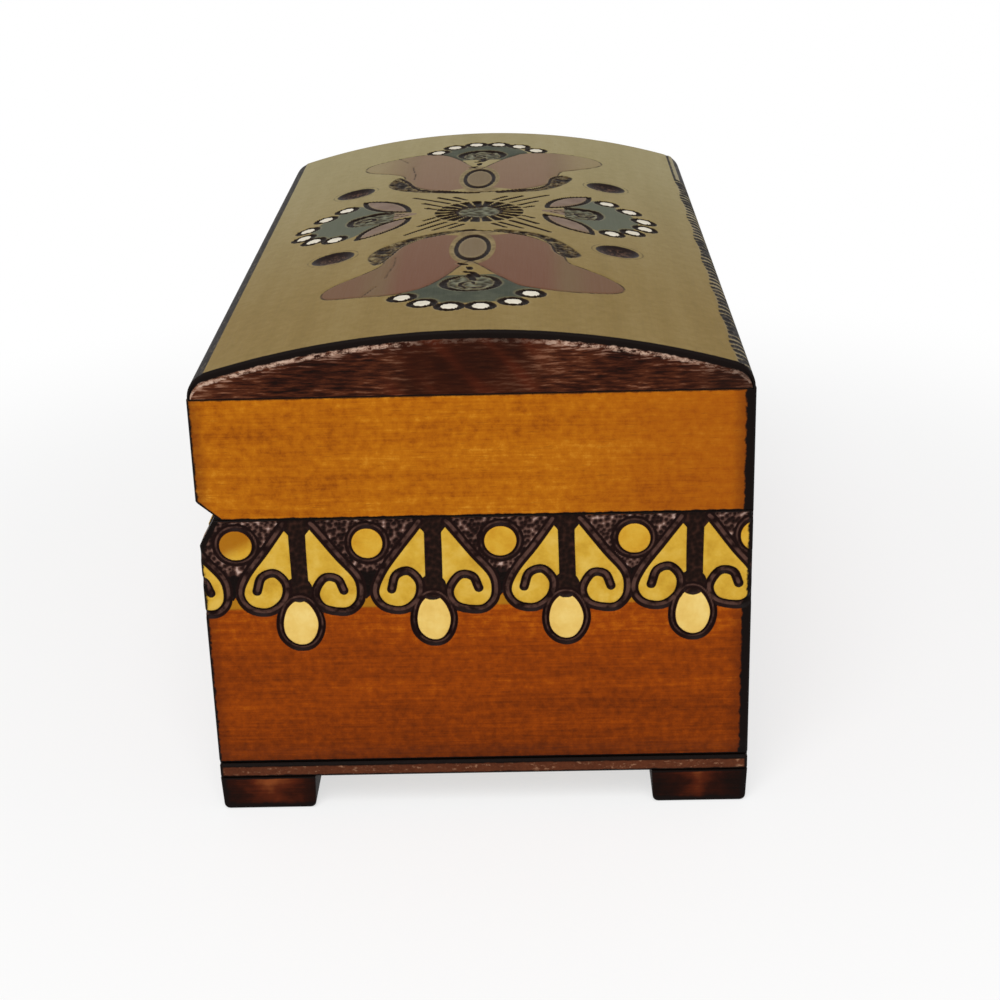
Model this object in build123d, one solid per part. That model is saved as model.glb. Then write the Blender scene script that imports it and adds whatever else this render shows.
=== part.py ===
from build123d import *
import math
import os

# A small wooden trinket box with a hinged, gently domed lid.
# Four boards, lapped at the corners, stand on a thin bottom board and four block feet.
# The lid is a frame of four shallower boards under one plano-convex top slab.
# A bevel on the lid and another on the base make a finger notch along the front.
# Two small brass butt hinges are let into the back edges.
#
# Frame, in millimetres: +X runs along the length, -Y is the front with the finger
# notch, +Y is the hinged back and +Z is up. The origin is on the table, under the
# middle of the four feet.

# Outside of the box
box_length = 165.0
box_width = 94.0
wall_thickness = 7.0
base_wall_height = 47.0
lid_wall_height = 21.5
bottom_thickness = 2.8

# Corner laps: the end boards keep a thin lip that covers the long boards' ends
corner_lip = 3.0
corner_round = 0.6

# Domed top slab
slab_edge_height = 3.6
slab_crown_height = 11.0
shoulder_round = 4.6

# Dished gouges in the top slab, cut as a group a little nearer the left end
dish_radius = 4.2
dish_depth = 1.1
dish_middle_x = -2.4
dish_from_middle_x = 27.4
dish_from_middle_y = 27.5

# Finger notch along the front
lid_bevel_depth = 4.2
lid_bevel_height = 3.6
base_bevel_depth = 2.7
base_bevel_height = 4.8

# Eased edges and the scored line that set off the bottom board
joint_ease = 0.4
score_height = 0.65
score_depth = 0.5

# Feet
foot_height = 6.4
foot_side = 17.0
foot_taper = 0.25
foot_round = 1.1

# Butt hinges
hinge_length = 20.0
hinge_from_end = 34.5
knuckle_count = 3
knuckle_radius = 1.25
knuckle_gap = 0.15
axis_behind_back = 0.5
leaf_thickness = 0.8
leaf_reach = 6.0
leaf_gap = 0.1
mortise_clearance = 0.1
swing_clearance = 0.15
pin_radius = 0.5
pin_head_radius = 0.85
pin_head_thickness = 0.35
running_clearance = 0.05

# Brads that hold the hinge leaves
brad_radius = 0.45
brad_length = 5.0
brad_head_radius = 0.95
brad_head_thickness = 0.4
brad_from_hinge_middle = 6.0
brad_clearance = 0.03

# Levels and faces that follow from the sizes above
half_length = box_length / 2
half_width = box_width / 2
bottom_level = foot_height
wall_foot = bottom_level + bottom_thickness
parting = wall_foot + base_wall_height
lid_wall_top = parting + lid_wall_height
slab_edge_level = lid_wall_top + slab_edge_height
slab_crown_level = lid_wall_top + slab_crown_height
slab_rise = slab_crown_height - slab_edge_height
slab_radius = (half_width**2 + slab_rise**2) / (2 * slab_rise)
slab_centre_level = slab_crown_level - slab_radius
inner_half_length = half_length - wall_thickness
inner_half_width = half_width - wall_thickness
hinge_from_middle = half_length - hinge_from_end
hinge_axis_y = half_width + axis_behind_back
leaf_inner_y = hinge_axis_y - leaf_reach
brad_y = (leaf_inner_y + half_width - knuckle_radius) / 2
mortise_depth = leaf_thickness + leaf_gap / 2
knuckle_seat_radius = knuckle_radius + swing_clearance


def block(x_span, y_span, z_span):
    """A rectangular block between three pairs of coordinates."""
    size = [high - low for low, high in (x_span, y_span, z_span)]
    low_corner = (x_span[0], y_span[0], z_span[0])
    return Pos(*low_corner) * Box(*size, align=(Align.MIN, Align.MIN, Align.MIN))


def cylinder_along_x(radius, x_span, y, z):
    """A round bar that lies along the length of the box."""
    length = x_span[1] - x_span[0]
    bar = Cylinder(radius, length, align=(Align.CENTER, Align.CENTER, Align.MIN))
    return Pos(x_span[0], y, z) * Rot(0, 90, 0) * bar


def prism_along_x(points):
    """A prism over the whole length from corner points in the Y-Z plane."""
    outline = Plane.YZ * make_face(Polyline(*points, close=True))
    return extrude(outline, half_length, both=True)


def lid_bevel_tool():
    """What the finger notch takes from the lid's lower front edge."""
    return prism_along_x(
        [
            (-half_width, parting),
            (-half_width + lid_bevel_depth, parting),
            (-half_width, parting + lid_bevel_height),
        ]
    )


def base_bevel_tool():
    """What the finger notch takes from the base's upper front edge."""
    return prism_along_x(
        [
            (-half_width, parting),
            (-half_width + base_bevel_depth, parting),
            (-half_width, parting - base_bevel_height),
        ]
    )


def end_board(side, z_span):
    """An end board with a rebate up each inner edge; side is +1 right, -1 left."""
    x_span = sorted((side * half_length, side * inner_half_length))
    board = block(x_span, (-half_width, half_width), z_span)
    rebate_span = sorted((side * (half_length - corner_lip), side * inner_half_length))
    for edge in (-1, 1):
        y_span = sorted((edge * half_width, edge * inner_half_width))
        board -= block(rebate_span, y_span, z_span)
    outer = board.edges().filter_by(Axis.Z).group_by(Axis.X)[-1 if side > 0 else 0]
    return fillet(outer, corner_round)


def long_board(side, z_span):
    """A long board that fits between the end boards' lips; side is -1 front, +1 back."""
    reach = half_length - corner_lip
    y_span = sorted((side * half_width, side * inner_half_width))
    return block((-reach, reach), y_span, z_span)


def score_tool():
    """A shallow band all round the walls, just above the bottom board."""
    z_span = (wall_foot, wall_foot + score_height)
    outside = block((-half_length, half_length), (-half_width, half_width), z_span)
    inside_length = half_length - score_depth
    inside_width = half_width - score_depth
    inside = block(
        (-inside_length, inside_length), (-inside_width, inside_width), z_span
    )
    return outside - inside


def hinge_seat_tool(centre_x, upward):
    """The mortise for one leaf, with the round seat that clears the knuckles."""
    half = hinge_length / 2 + mortise_clearance
    z_span = sorted((parting, parting + upward * mortise_depth))
    y_span = (leaf_inner_y - mortise_clearance, half_width + axis_behind_back)
    seat = block((centre_x - half, centre_x + half), y_span, z_span)
    half += pin_head_thickness
    round_span = (centre_x - half, centre_x + half)
    seat += cylinder_along_x(knuckle_seat_radius, round_span, hinge_axis_y, parting)
    for brad_x in brad_places(centre_x):
        hole = Cylinder(brad_radius + brad_clearance, 2 * (brad_length + leaf_gap))
        seat += Pos(brad_x, brad_y, parting) * hole
    return seat


def brad_places(centre_x):
    """Where the brads of the hinge at centre_x stand along the box."""
    return [centre_x - brad_from_hinge_middle, centre_x + brad_from_hinge_middle]


def hinge_centres():
    """Name and place of each hinge."""
    return {"left": -hinge_from_middle, "right": hinge_from_middle}


def top_slab():
    """The plano-convex top board, with rounded shoulders and four dished gouges."""
    crown = ThreePointArc(
        (-half_width, slab_edge_level),
        (0, slab_crown_level),
        (half_width, slab_edge_level),
    )
    rest = Polyline(
        (half_width, slab_edge_level),
        (half_width, lid_wall_top),
        (-half_width, lid_wall_top),
        (-half_width, slab_edge_level),
    )
    slab = extrude(Plane.YZ * make_face(crown + rest), half_length, both=True)
    along = slab.edges().filter_by(Axis.X).sort_by(Axis.Z)
    slab = fillet(along[-2:], shoulder_round)
    rims = slab.edges().filter_by(Axis.X, reverse=True).group_by(Axis.Z)
    slab = chamfer([edge for level in rims[1:] for edge in level], corner_round)
    ball_radius = (dish_radius**2 + dish_depth**2) / (2 * dish_depth)
    lift = slab_radius + ball_radius - dish_depth
    lean = math.asin(dish_from_middle_y / slab_radius)
    for side in (-1, 1):
        ball_y = side * lift * math.sin(lean)
        ball_z = slab_centre_level + lift * math.cos(lean)
        for end in (-1, 1):
            ball_x = dish_middle_x + end * dish_from_middle_x
            slab -= Pos(ball_x, ball_y, ball_z) * Sphere(ball_radius)
    return slab


def bottom_board():
    """The thin bottom board, flush with the walls, with its edges eased."""
    board = block(
        (-half_length, half_length), (-half_width, half_width), (bottom_level, wall_foot)
    )
    board = fillet(board.edges().filter_by(Axis.Z), corner_round)
    rims = board.edges().filter_by(Axis.Z, reverse=True)
    return chamfer(rims, joint_ease)


def foot_outline():
    """A foot seen from one side: tapered, with its top edges eased."""
    top_reach = foot_side / 2
    bottom_reach = top_reach - foot_taper
    corners = [
        (-bottom_reach, 0),
        (bottom_reach, 0),
        (top_reach, foot_height - joint_ease),
        (top_reach - joint_ease, foot_height),
        (joint_ease - top_reach, foot_height),
        (-top_reach, foot_height - joint_ease),
    ]
    return make_face(Polyline(*corners, close=True))


def foot(end, side):
    """A block foot, narrower at the table than under the bottom board."""
    seen_from_the_end = extrude(Plane.YZ * foot_outline(), foot_side / 2, both=True)
    seen_from_the_side = extrude(Plane.XZ * foot_outline(), foot_side / 2, both=True)
    block_foot = seen_from_the_end & seen_from_the_side
    block_foot = fillet(block_foot.faces().sort_by(Axis.Z)[0].edges(), foot_round)
    centre_x = end * (half_length - foot_side / 2)
    centre_y = side * (half_width - foot_side / 2)
    return Pos(centre_x, centre_y, 0) * block_foot


def knuckle_spans(centre_x, first):
    """The spans of every second knuckle along the hinge, from number first."""
    pitch = hinge_length / knuckle_count
    start = centre_x - hinge_length / 2
    spans = []
    for number in range(first, knuckle_count, 2):
        low = start + number * pitch + (knuckle_gap / 2 if number > 0 else 0)
        last = number == knuckle_count - 1
        high = start + (number + 1) * pitch - (0 if last else knuckle_gap / 2)
        spans.append((low, high))
    return spans


def hinge_leaf(centre_x, upward):
    """One leaf with its knuckles; upward is +1 for the lid's leaf, -1 for the base's."""
    own, other = (0, 1) if upward < 0 else (1, 0)
    near = parting + upward * leaf_gap / 2
    z_span = sorted((near, near + upward * leaf_thickness))
    x_span = (centre_x - hinge_length / 2, centre_x + hinge_length / 2)
    leaf = block(x_span, (leaf_inner_y, hinge_axis_y), z_span)
    clear_y = (hinge_axis_y - knuckle_seat_radius, hinge_axis_y)
    for low, high in knuckle_spans(centre_x, other):
        leaf -= block((low - knuckle_gap, high + knuckle_gap), clear_y, z_span)
    for span in knuckle_spans(centre_x, own):
        leaf += cylinder_along_x(knuckle_radius, span, hinge_axis_y, parting)
    bore = pin_radius + running_clearance
    leaf -= cylinder_along_x(bore, x_span, hinge_axis_y, parting)
    for brad_x in brad_places(centre_x):
        leaf -= Pos(brad_x, brad_y, parting) * brad(upward, brad_clearance)
    return leaf


def brad(direction, growth):
    """A countersunk brad at the origin that points up or down, grown all round."""
    head_top = leaf_gap / 2
    head_foot = head_top + brad_head_thickness
    tip = head_top + brad_length
    outline = Polyline(
        (0, head_top - growth),
        (brad_head_radius + growth, head_top - growth),
        (brad_radius + growth, head_foot + growth),
        (brad_radius + growth, tip + growth),
        (0, tip + growth),
        close=True,
    )
    turned = revolve(Plane.XZ * make_face(outline), Axis.Z)
    return turned if direction > 0 else Rot(180, 0, 0) * turned


def brads(direction):
    """All the brads that go into one back board, as separate solids."""
    solids = []
    for centre_x in hinge_centres().values():
        for brad_x in brad_places(centre_x):
            solids.append(Pos(brad_x, brad_y, parting) * brad(direction, 0))
    return Compound(children=solids)


def hinge_pin(centre_x):
    """The pin through the knuckles, upset to a small head at each end."""
    half = hinge_length / 2
    pin_span = (centre_x - half, centre_x + half)
    pin = cylinder_along_x(pin_radius, pin_span, hinge_axis_y, parting)
    for end in (-1, 1):
        seat = centre_x + end * half
        head_span = sorted((seat, seat + end * pin_head_thickness))
        pin += cylinder_along_x(pin_head_radius, head_span, hinge_axis_y, parting)
    return pin


def base_parts():
    """Every piece that stays with the base."""
    walls = (wall_foot, parting)
    parts = {
        "base_front_board": long_board(-1, walls) - base_bevel_tool(),
        "base_back_board": long_board(1, walls),
        "base_left_end": end_board(-1, walls) - base_bevel_tool(),
        "base_right_end": end_board(1, walls) - base_bevel_tool(),
    }
    for name in parts:
        parts[name] -= score_tool()
    for centre_x in hinge_centres().values():
        parts["base_back_board"] -= hinge_seat_tool(centre_x, -1)
    parts["bottom_board"] = bottom_board()
    for end_name, end in (("left", -1), ("right", 1)):
        for side_name, side in (("front", -1), ("back", 1)):
            parts[f"foot_{side_name}_{end_name}"] = foot(end, side)
    return parts


def lid_parts():
    """Every piece that swings up with the lid."""
    walls = (parting, lid_wall_top)
    parts = {
        "lid_front_board": long_board(-1, walls) - lid_bevel_tool(),
        "lid_back_board": long_board(1, walls),
        "lid_left_end": end_board(-1, walls) - lid_bevel_tool(),
        "lid_right_end": end_board(1, walls) - lid_bevel_tool(),
        "lid_top_slab": top_slab(),
    }
    for centre_x in hinge_centres().values():
        parts["lid_back_board"] -= hinge_seat_tool(centre_x, 1)
    return parts


def hinge_parts():
    """Leaves, pins and brads of the two hinges."""
    parts = {}
    for name, centre_x in hinge_centres().items():
        parts[f"hinge_{name}_base_leaf"] = hinge_leaf(centre_x, -1)
        parts[f"hinge_{name}_lid_leaf"] = hinge_leaf(centre_x, 1)
        parts[f"hinge_{name}_pin"] = hinge_pin(centre_x)
    parts["base_hinge_brads"] = brads(-1)
    parts["lid_hinge_brads"] = brads(1)
    return parts


os.makedirs("parts", exist_ok=True)
for node, shape in {**base_parts(), **lid_parts(), **hinge_parts()}.items():
    export_step(shape, f"parts/{node}.step")
    print(node, "solids", len(shape.solids()), "volume", round(shape.volume, 1))
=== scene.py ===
# %% [markdown]
# # A carved wooden trinket box
# Four boards, lapped at the corners, stand on a thin bottom board and four block feet.
# The lid is a frame of four shallower boards under one domed board, and two brass butt
# hinges join lid and base at the back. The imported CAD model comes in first: it fixes
# where everything is, so the dressed pieces need no fitting afterwards.

# %% Load the frame
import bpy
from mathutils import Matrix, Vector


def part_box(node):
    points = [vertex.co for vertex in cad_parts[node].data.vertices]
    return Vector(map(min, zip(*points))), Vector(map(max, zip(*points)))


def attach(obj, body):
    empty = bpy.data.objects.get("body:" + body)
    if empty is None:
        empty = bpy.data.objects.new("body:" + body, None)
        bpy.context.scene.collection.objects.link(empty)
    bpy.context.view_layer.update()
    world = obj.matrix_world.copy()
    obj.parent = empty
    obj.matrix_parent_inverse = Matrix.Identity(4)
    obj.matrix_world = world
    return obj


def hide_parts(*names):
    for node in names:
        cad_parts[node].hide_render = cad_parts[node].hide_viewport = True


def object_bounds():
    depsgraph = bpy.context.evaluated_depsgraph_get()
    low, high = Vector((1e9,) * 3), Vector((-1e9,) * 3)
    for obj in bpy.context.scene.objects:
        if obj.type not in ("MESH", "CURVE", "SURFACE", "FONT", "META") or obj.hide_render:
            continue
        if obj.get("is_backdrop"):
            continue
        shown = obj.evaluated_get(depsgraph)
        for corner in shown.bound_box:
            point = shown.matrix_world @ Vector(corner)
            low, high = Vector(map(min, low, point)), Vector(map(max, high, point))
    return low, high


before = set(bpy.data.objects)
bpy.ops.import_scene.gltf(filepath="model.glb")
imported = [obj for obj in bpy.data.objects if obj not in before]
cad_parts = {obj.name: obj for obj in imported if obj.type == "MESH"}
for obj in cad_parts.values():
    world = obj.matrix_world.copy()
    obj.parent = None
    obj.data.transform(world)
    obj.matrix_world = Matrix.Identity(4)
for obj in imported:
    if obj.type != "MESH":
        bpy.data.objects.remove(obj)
cad_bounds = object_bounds()
print("CAD box in metres:", cad_bounds)

# %% [markdown]
# ## Sizes
# Everything below is worked out in millimetres, as a joiner would, and turned into
# Blender's metres at the very end. Sizes that a CAD node's box gives are read from it.
# The others repeat the drawing that the CAD parts were built from.

# %% Sizes of the box
import math
from functools import cached_property

import bmesh
import bpy
import numpy as np

MM = 0.001


def corners(node):
    """A CAD node's lowest and highest corners, in millimetres."""
    return [[round(part / MM, 3) for part in corner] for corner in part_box(node)]


slab_low, slab_high = corners("lid_top_slab")
wall_low, wall_high = corners("base_right_end")
half_length, half_width, crown_level = slab_high
lid_wall_top = slab_low[2]
wall_foot, parting = wall_low[2], wall_high[2]
wall_thickness = 7.0
foot_height, foot_side = 6.4, 17.0
foot_middle = half_width - foot_side / 2
corner_lip = 3.0
corner_round = 0.6
notch_depth, notch_height = 2.7, 4.8
lid_notch_depth, lid_notch_height = 4.2, 3.6
inner_half_width = half_width - wall_thickness
print("half length", half_length, "half width", half_width, "parting", parting)

# %% [markdown]
# ## Drawing with distances
# A carver's pattern is outlines, rings and strokes. For every point of a surface these
# helpers give the distance to such a shape, below zero inside it. One distance serves
# twice: in the mesh it says how deep the gouge goes, and in the material it says where
# the paint or the burned line ends. A material can cut a distance off sharply between
# two vertices, so a drawn edge stays crisp on a fairly coarse mesh.

# %% Distances to drawn shapes
def curve(points, closed=False, steps=5):
    """A smooth line through a few points, as a chain of short runs."""
    points = np.asarray(points, float)
    if closed:
        chain = np.vstack([points[-1:], points, points[:2]])
    else:
        first, last = 2 * points[:1] - points[1:2], 2 * points[-1:] - points[-2:-1]
        chain = np.vstack([first, points, last])
    t = np.linspace(0, 1, steps, endpoint=False)[:, None]
    runs = []
    for before, start, end, after in zip(chain, chain[1:], chain[2:], chain[3:]):
        bend = before - 2.5 * start + 2 * end - after / 2
        twist = 1.5 * (start - end) + (after - before) / 2
        runs.append(start + (end - before) * t / 2 + bend * t**2 + twist * t**3)
    return np.vstack(runs if closed else runs + [points[-1:]])


def near_line(at, chain):
    """Distance from every place to a chain of runs."""
    chain = np.asarray(chain, float)
    best = np.full(len(at), np.inf)
    for start, end in zip(chain, chain[1:]):
        run = end - start
        along = np.clip((at - start) @ run / (run @ run), 0, 1)
        best = np.minimum(best, np.hypot(*(at - start - along[:, None] * run).T))
    return best


def in_outline(at, chain):
    """Signed distance to a closed outline."""
    ring = np.vstack([chain, chain[:1]])
    inside = np.zeros(len(at), bool)
    u, v = at.T
    for (u0, v0), (u1, v1) in zip(ring, ring[1:]):
        if v0 != v1:
            crosses = (v0 > v) != (v1 > v)
            inside ^= crosses & (u < (u1 - u0) * (v - v0) / (v1 - v0) + u0)
    return np.where(inside, -1, 1) * near_line(at, ring)


# %% [markdown]
# Discs, bands, ovals and pointed lenses are quicker to measure than outlines, so they have
# helpers of their own. They are also what the tools leave: a punch leaves a disc, a gouge
# turned on its heel leaves a ring, and two curved cuts meet in a lens.

# %% Distances to simple shapes
def in_disc(at, centre, radius):
    """Signed distance to a disc."""
    return np.hypot(*(at - centre).T) - radius


def band(distance, inner, outer):
    """Signed distance to what lies between two distances from a shape."""
    return np.abs(distance - (inner + outer) / 2) - (outer - inner) / 2


def in_oval(at, centre, half_breadth, half_length):
    """Distance to an upright oval, stretched as much along it as the oval is."""
    share = np.hypot(*((at - centre) / (half_breadth, half_length)).T)
    return (share - 1) * half_breadth


def in_lens(at, tip, other_tip, half_breadth):
    """Signed distance to a pointed oval between two tips."""
    tip, other_tip = np.array(tip, float), np.array(other_tip, float)
    half = np.hypot(*(other_tip - tip)) / 2
    radius = (half**2 + half_breadth**2) / (2 * half_breadth)
    across = np.array([tip[1] - other_tip[1], other_tip[0] - tip[0]]) / (2 * half)
    middle, shift = (tip + other_tip) / 2, (radius - half_breadth) * across
    return np.maximum(in_disc(at, middle + shift, radius), in_disc(at, middle - shift, radius))


def in_strokes(at, runs, half_breadth):
    """Signed distance to the nearest of several strokes."""
    return np.min([near_line(at, run) for run in runs], 0) - half_breadth


print("a place 3 mm from the middle of a 2 mm disc:", in_disc(np.array([[3.0, 0]]), (0, 0), 2))

# %% [markdown]
# A hand holds the tool, so no two scrolls are quite alike. `wobble` moves the places a
# little before a pattern is measured there, with a few slow waves from a fixed seed, and
# `pits` says how near a place is to the middle of a punched pit.

# %% The hand's small errors
def wobble(at, seed, reach, period):
    """The same places, moved a little, as a hand-held tool strays."""
    chance = np.random.default_rng(seed)
    moved = at.copy()
    for _ in range(4):
        wave = chance.normal(0, 2 * math.pi / period, 2)
        phase = chance.uniform(0, 2 * math.pi, 2)
        moved += chance.normal(0, reach / 2, 2) * np.sin((at @ wave)[:, None] + phase)
    return moved


def pits(at, pitch, seed):
    """How near each place is to a punched pit's middle: 1 there, 0 well away."""
    table = np.random.default_rng(seed).random((64, 64, 2))
    cell = np.floor(at / pitch).astype(int)
    best = np.full(len(at), pitch)
    for step in np.ndindex(3, 3):
        near = cell + np.array(step) - 1
        middle = (near + table[near[:, 0] % 64, near[:, 1] % 64]) * pitch
        best = np.minimum(best, np.hypot(*(at - middle).T))
    return 1 - best / pitch


def hollow(distance, half_breadth):
    """Depth of a rounded gouge, 0 at its edge and 1 along its middle."""
    fill = np.clip(-distance / half_breadth, 0, 1)
    return fill * (2 - fill)


print("a gouge at its edge, halfway and in its middle:", hollow(np.array([0, -0.5, -1]), 1))

# %% [markdown]
# ## The frieze
# A band of carving runs round the base under the lid. Each unit is a stem with a scroll
# on either side, a drop below it, and a gold roundel between it and the next. The
# scrolls are one long gouge cut, so they are drawn as a centre line with a breadth. One
# unit is drawn once, and every place on a board asks for the unit that is nearest.

# %% One unit of the frieze, measured from its stem and from the table
left_scroll = [
    (-2.3, 55.2), (-3.5, 53.5), (-5.7, 50.5), (-9, 46), (-10.35, 42.3), (-8.8, 39.6),
    (-5.5, 39), (-2.9, 41), (-2.4, 44), (-4.2, 46.2), (-6.5, 45.5), (-7.4, 42.9),
]
right_scroll = [
    (2.3, 55.2), (3.2, 54.2), (6.8, 49.3), (10, 45.2), (10.4, 41.6), (9.2, 39.5),
    (7.2, 38.75), (3.7, 39.6), (2.5, 42.3), (4.2, 45.2), (6.5, 45), (7.5, 42.8),
]
drop = [
    (-1.2, 41), (0.5, 41), (1.7, 39.8), (2.5, 37.9), (2.6, 36.3), (2.1, 34.6), (1.1, 33.3),
    (-0.2, 32.9), (-1.6, 33.3), (-2.8, 34.6), (-3.2, 36.4), (-3, 38.2), (-2.4, 39.8),
]
scrolls = ((left_scroll, -1, 8), (right_scroll, 1, 9))
scroll_half, stem_half, groove_breadth = 0.82, 1.45, 1.3
stem_foot, stem_top = 41.6, 56.4
stem_flare, flare_foot, flare_height = 1.8, 53.3, 2.2
knot, knot_radius = (-0.3, 43.1), 2.4
roundel_level, roundel_radius = 51.5, 2.7
web_level, web_half_height, web_half_breadth = 40.6, 0.95, 2.4
frieze_top, ground_foot, ground_reach = 55.9, 40.5, 13
frieze_names = ("cut", "petal", "web", "roundel", "drop", "ground", "stem", "pit")
AWAY = 9.0
print("one unit is drawn from", len(left_scroll + right_scroll + drop), "points")

# %% [markdown]
# `frieze` measures every part of the band at once. For each vertex it finds the nearest
# stem and the nearest gap, moves the place into that unit's own measure, and takes the
# distances there. A board of any length then needs only a list of where its stems stand.
# The depth of the carving is worked out from the same distances.

# %% Drawing the frieze
def petal_outline(scroll, side, last):
    """The painted leaf inside a scroll, closed along the stem."""
    return np.vstack([curve(scroll[1:last]), [(side * 1.2, 43.5), (side * 1.2, 54.3)]])


def ground_outline(scroll, side):
    """The punched ground between a scroll's back and the middle of the gap."""
    outer = side * ground_reach
    return [(outer, frieze_top), (0, frieze_top)] + scroll[:5] + [(outer, ground_foot)]


def frieze(across, up, stems, gaps=None, lifts=None):
    """Distances to every part of the frieze: stems, roundels at gaps, drops lifted."""
    stems = np.asarray(stems, float)
    gaps = (stems[1:] + stems[:-1]) / 2 if gaps is None else np.asarray(gaps, float)
    lifts = np.zeros(len(stems)) if lifts is None else np.asarray(lifts, float)
    at = wobble(np.stack([across, up], 1), 8, 0.05, 28)
    stem_number = np.abs(at[:, :1] - stems).argmin(1)
    from_gap = at[:, 0] - gaps[np.abs(at[:, :1] - gaps).argmin(1)]
    u, v = at[:, 0] - stems[stem_number], at[:, 1]
    unit, lifted = np.stack([u, v], 1), np.stack([u, v - lifts[stem_number]], 1)

    roundel = np.hypot(from_gap, v - roundel_level) - roundel_radius
    hanging = in_outline(lifted, curve(drop, closed=True, steps=4))
    scroll = np.min([near_line(unit, curve(line)) for line, _, _ in scrolls], 0)
    petal = [in_outline(unit, petal_outline(*parts)) for parts in scrolls]
    ground = [in_outline(unit, ground_outline(line, side)) for line, side, _ in scrolls]
    flare = stem_flare * np.clip((v - flare_foot) / flare_height, 0, 1)
    post = np.maximum(np.abs(u) - stem_half - flare, band(v, stem_foot, stem_top))
    rings = [band(hanging, 0, groove_breadth), band(roundel, 0, groove_breadth)]
    web = np.maximum(np.abs(from_gap) - web_half_breadth, np.abs(v - web_level) - web_half_height)
    return {
        "cut": np.min([scroll - scroll_half, *rings], 0),
        "petal": np.min(petal, 0),
        "web": web,
        "roundel": roundel,
        "drop": hanging,
        "ground": np.maximum(np.min(ground, 0), 0.5 - roundel),
        "stem": np.minimum(post, in_disc(unit, knot, knot_radius)),
        "pit": pits(at, 0.8, 3),
    }


def frieze_depth(drawn):
    """How deep the frieze is cut, in millimetres."""
    ground = np.clip(-drawn["ground"] / 0.35, 0, 1) * (0.3 + 0.4 * drawn["pit"] ** 2)
    groove = 0.6 * hollow(drawn["cut"], 0.75)
    stem = 0.45 * hollow(drawn["stem"], 0.9) + 0.15 * drawn["pit"] * (drawn["stem"] < 0)
    return np.max([ground, groove, stem], 0)


trial = frieze(np.zeros(1), np.full(1, 50.0), [0, 22])
print("a stem is cut", round(float(frieze_depth(trial)[0]), 2), "mm deep")

# %% [markdown]
# ## The pattern on the lid
# The lid carries two tulips, one toward each end, a flower toward each long side, and a
# rosette with rays between them. The near and the far tulip are the same drawing turned
# round the pattern's middle, which sits 1.5 mm nearer the left end. Places are given as
# (across the lid, along the lid), in millimetres, as if the dome were unrolled flat.
# Every part of the drawing is a layer of distances, and a new shape is merged into it.

# %% The tulips
lid_names = (
    "cut", "petal", "edge", "seed", "fold", "sepal", "teal", "leaf", "eye", "bead", "dish",
    "border", "pit",
)
pattern_middle = -1.5
tulip_petals = [
    (-1.2, 15.2), (-6, 17), (-11, 20), (-15, 25.5), (-16.8, 32), (-17.6, 37), (-20.5, 41),
    (-25.2, 45.8), (-27.2, 50.2), (-26, 54.4), (-20.3, 56.6), (-14.5, 57.8), (-10, 56),
    (-7.6, 53.2), (-5, 48), (-2.4, 41), (-0.8, 38.2), (0.9, 41), (4, 47.6), (6.6, 52),
    (9.4, 55.4), (16.4, 57.3), (23, 56.2), (26.2, 54), (26.9, 50.2), (24.4, 45.4),
    (20.6, 41.2), (17.4, 37.6), (16.4, 32), (14.6, 25.5), (10.6, 20), (5.5, 16.8),
]
tulip_sepals = [
    [
        (-18.6, 36), (-20.5, 30), (-19, 24.4), (-15.2, 20), (-10.3, 16.8), (-5.3, 14.8),
        (-0.7, 14.2), (-0.9, 15.3), (-6, 16.6), (-10.2, 18.7), (-13.4, 22), (-15, 26.3),
        (-16.1, 30.5),
    ],
    [
        (19.8, 32.2), (18.6, 27), (15.9, 21.5), (12.6, 17.6), (8.9, 15.6), (3.9, 14.3),
        (3.5, 15.4), (8.2, 17.4), (12, 20.4), (14.2, 24.6), (15, 30.4), (17.2, 33.9),
    ],
]
tulip_folds = [[(-15, 32), (-14.9, 37), (-15.6, 42), (-16, 46)], [(-19.8, 57.2), (-17.4, 51)]]
tulip_seed = ((-0.6, 28.4), 3.1, 8.7)
tulip_eye, eye_radius = (-0.4, 53.2), 4.6
tulip_strokes = [
    [(-0.9, 42.6), (-0.7, 44)], [(-1.6, 45.8), (-0.2, 46.4), (0.8, 48.8)],
    [(-0.8, 47.8), (0, 50.4)], [(-2.6, 39.8), (-1.6, 40.8)],
]
near_beads = [(-12.2, 60.4), (-8.4, 64.9), (-3.6, 67.7), (1.7, 67.9), (7.2, 65.1), (10.3, 59.7)]
far_beads = [(-10.7, 58.9), (-7, 63.3), (-2, 65.3), (3.2, 65), (8, 63.1), (12, 59.3)]
near_fan, far_fan, fan_foot = 13, 10.8, 48
bead_radius, bead_groove = 1.48, 1.27
print("a tulip's petals are drawn from", len(tulip_petals), "points")

# %% [markdown]
# A tulip is laid out as a carver would do it: the outline of the petals, the long sepals
# under them, the seed with a halo round it, and the eye with a fan of teal behind it. All
# its grooves go into one layer, `cut`, because they were stained alike.

# %% Drawing a tulip
def add(drawn, **shapes):
    """Merges shapes into the layers of the drawing that they are named after."""
    for name, distance in shapes.items():
        drawn[name] = np.minimum(drawn[name], distance)


def add_beads(drawn, at, beads):
    """Adds a row of white beads, each in its dark ring."""
    for place in beads:
        bead = in_disc(at, place, bead_radius)
        add(drawn, bead=bead, cut=band(bead, 0, bead_groove))


def spiral(eye, turn, reach):
    """A small spiral cut inside an eye."""
    angles = np.linspace(0, 3.4 * math.pi / 2, 9) + turn
    radii = np.linspace(reach, 0.5, 9)
    return np.stack([eye[0] + radii * np.cos(angles), eye[1] + radii * np.sin(angles)], 1)


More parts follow.
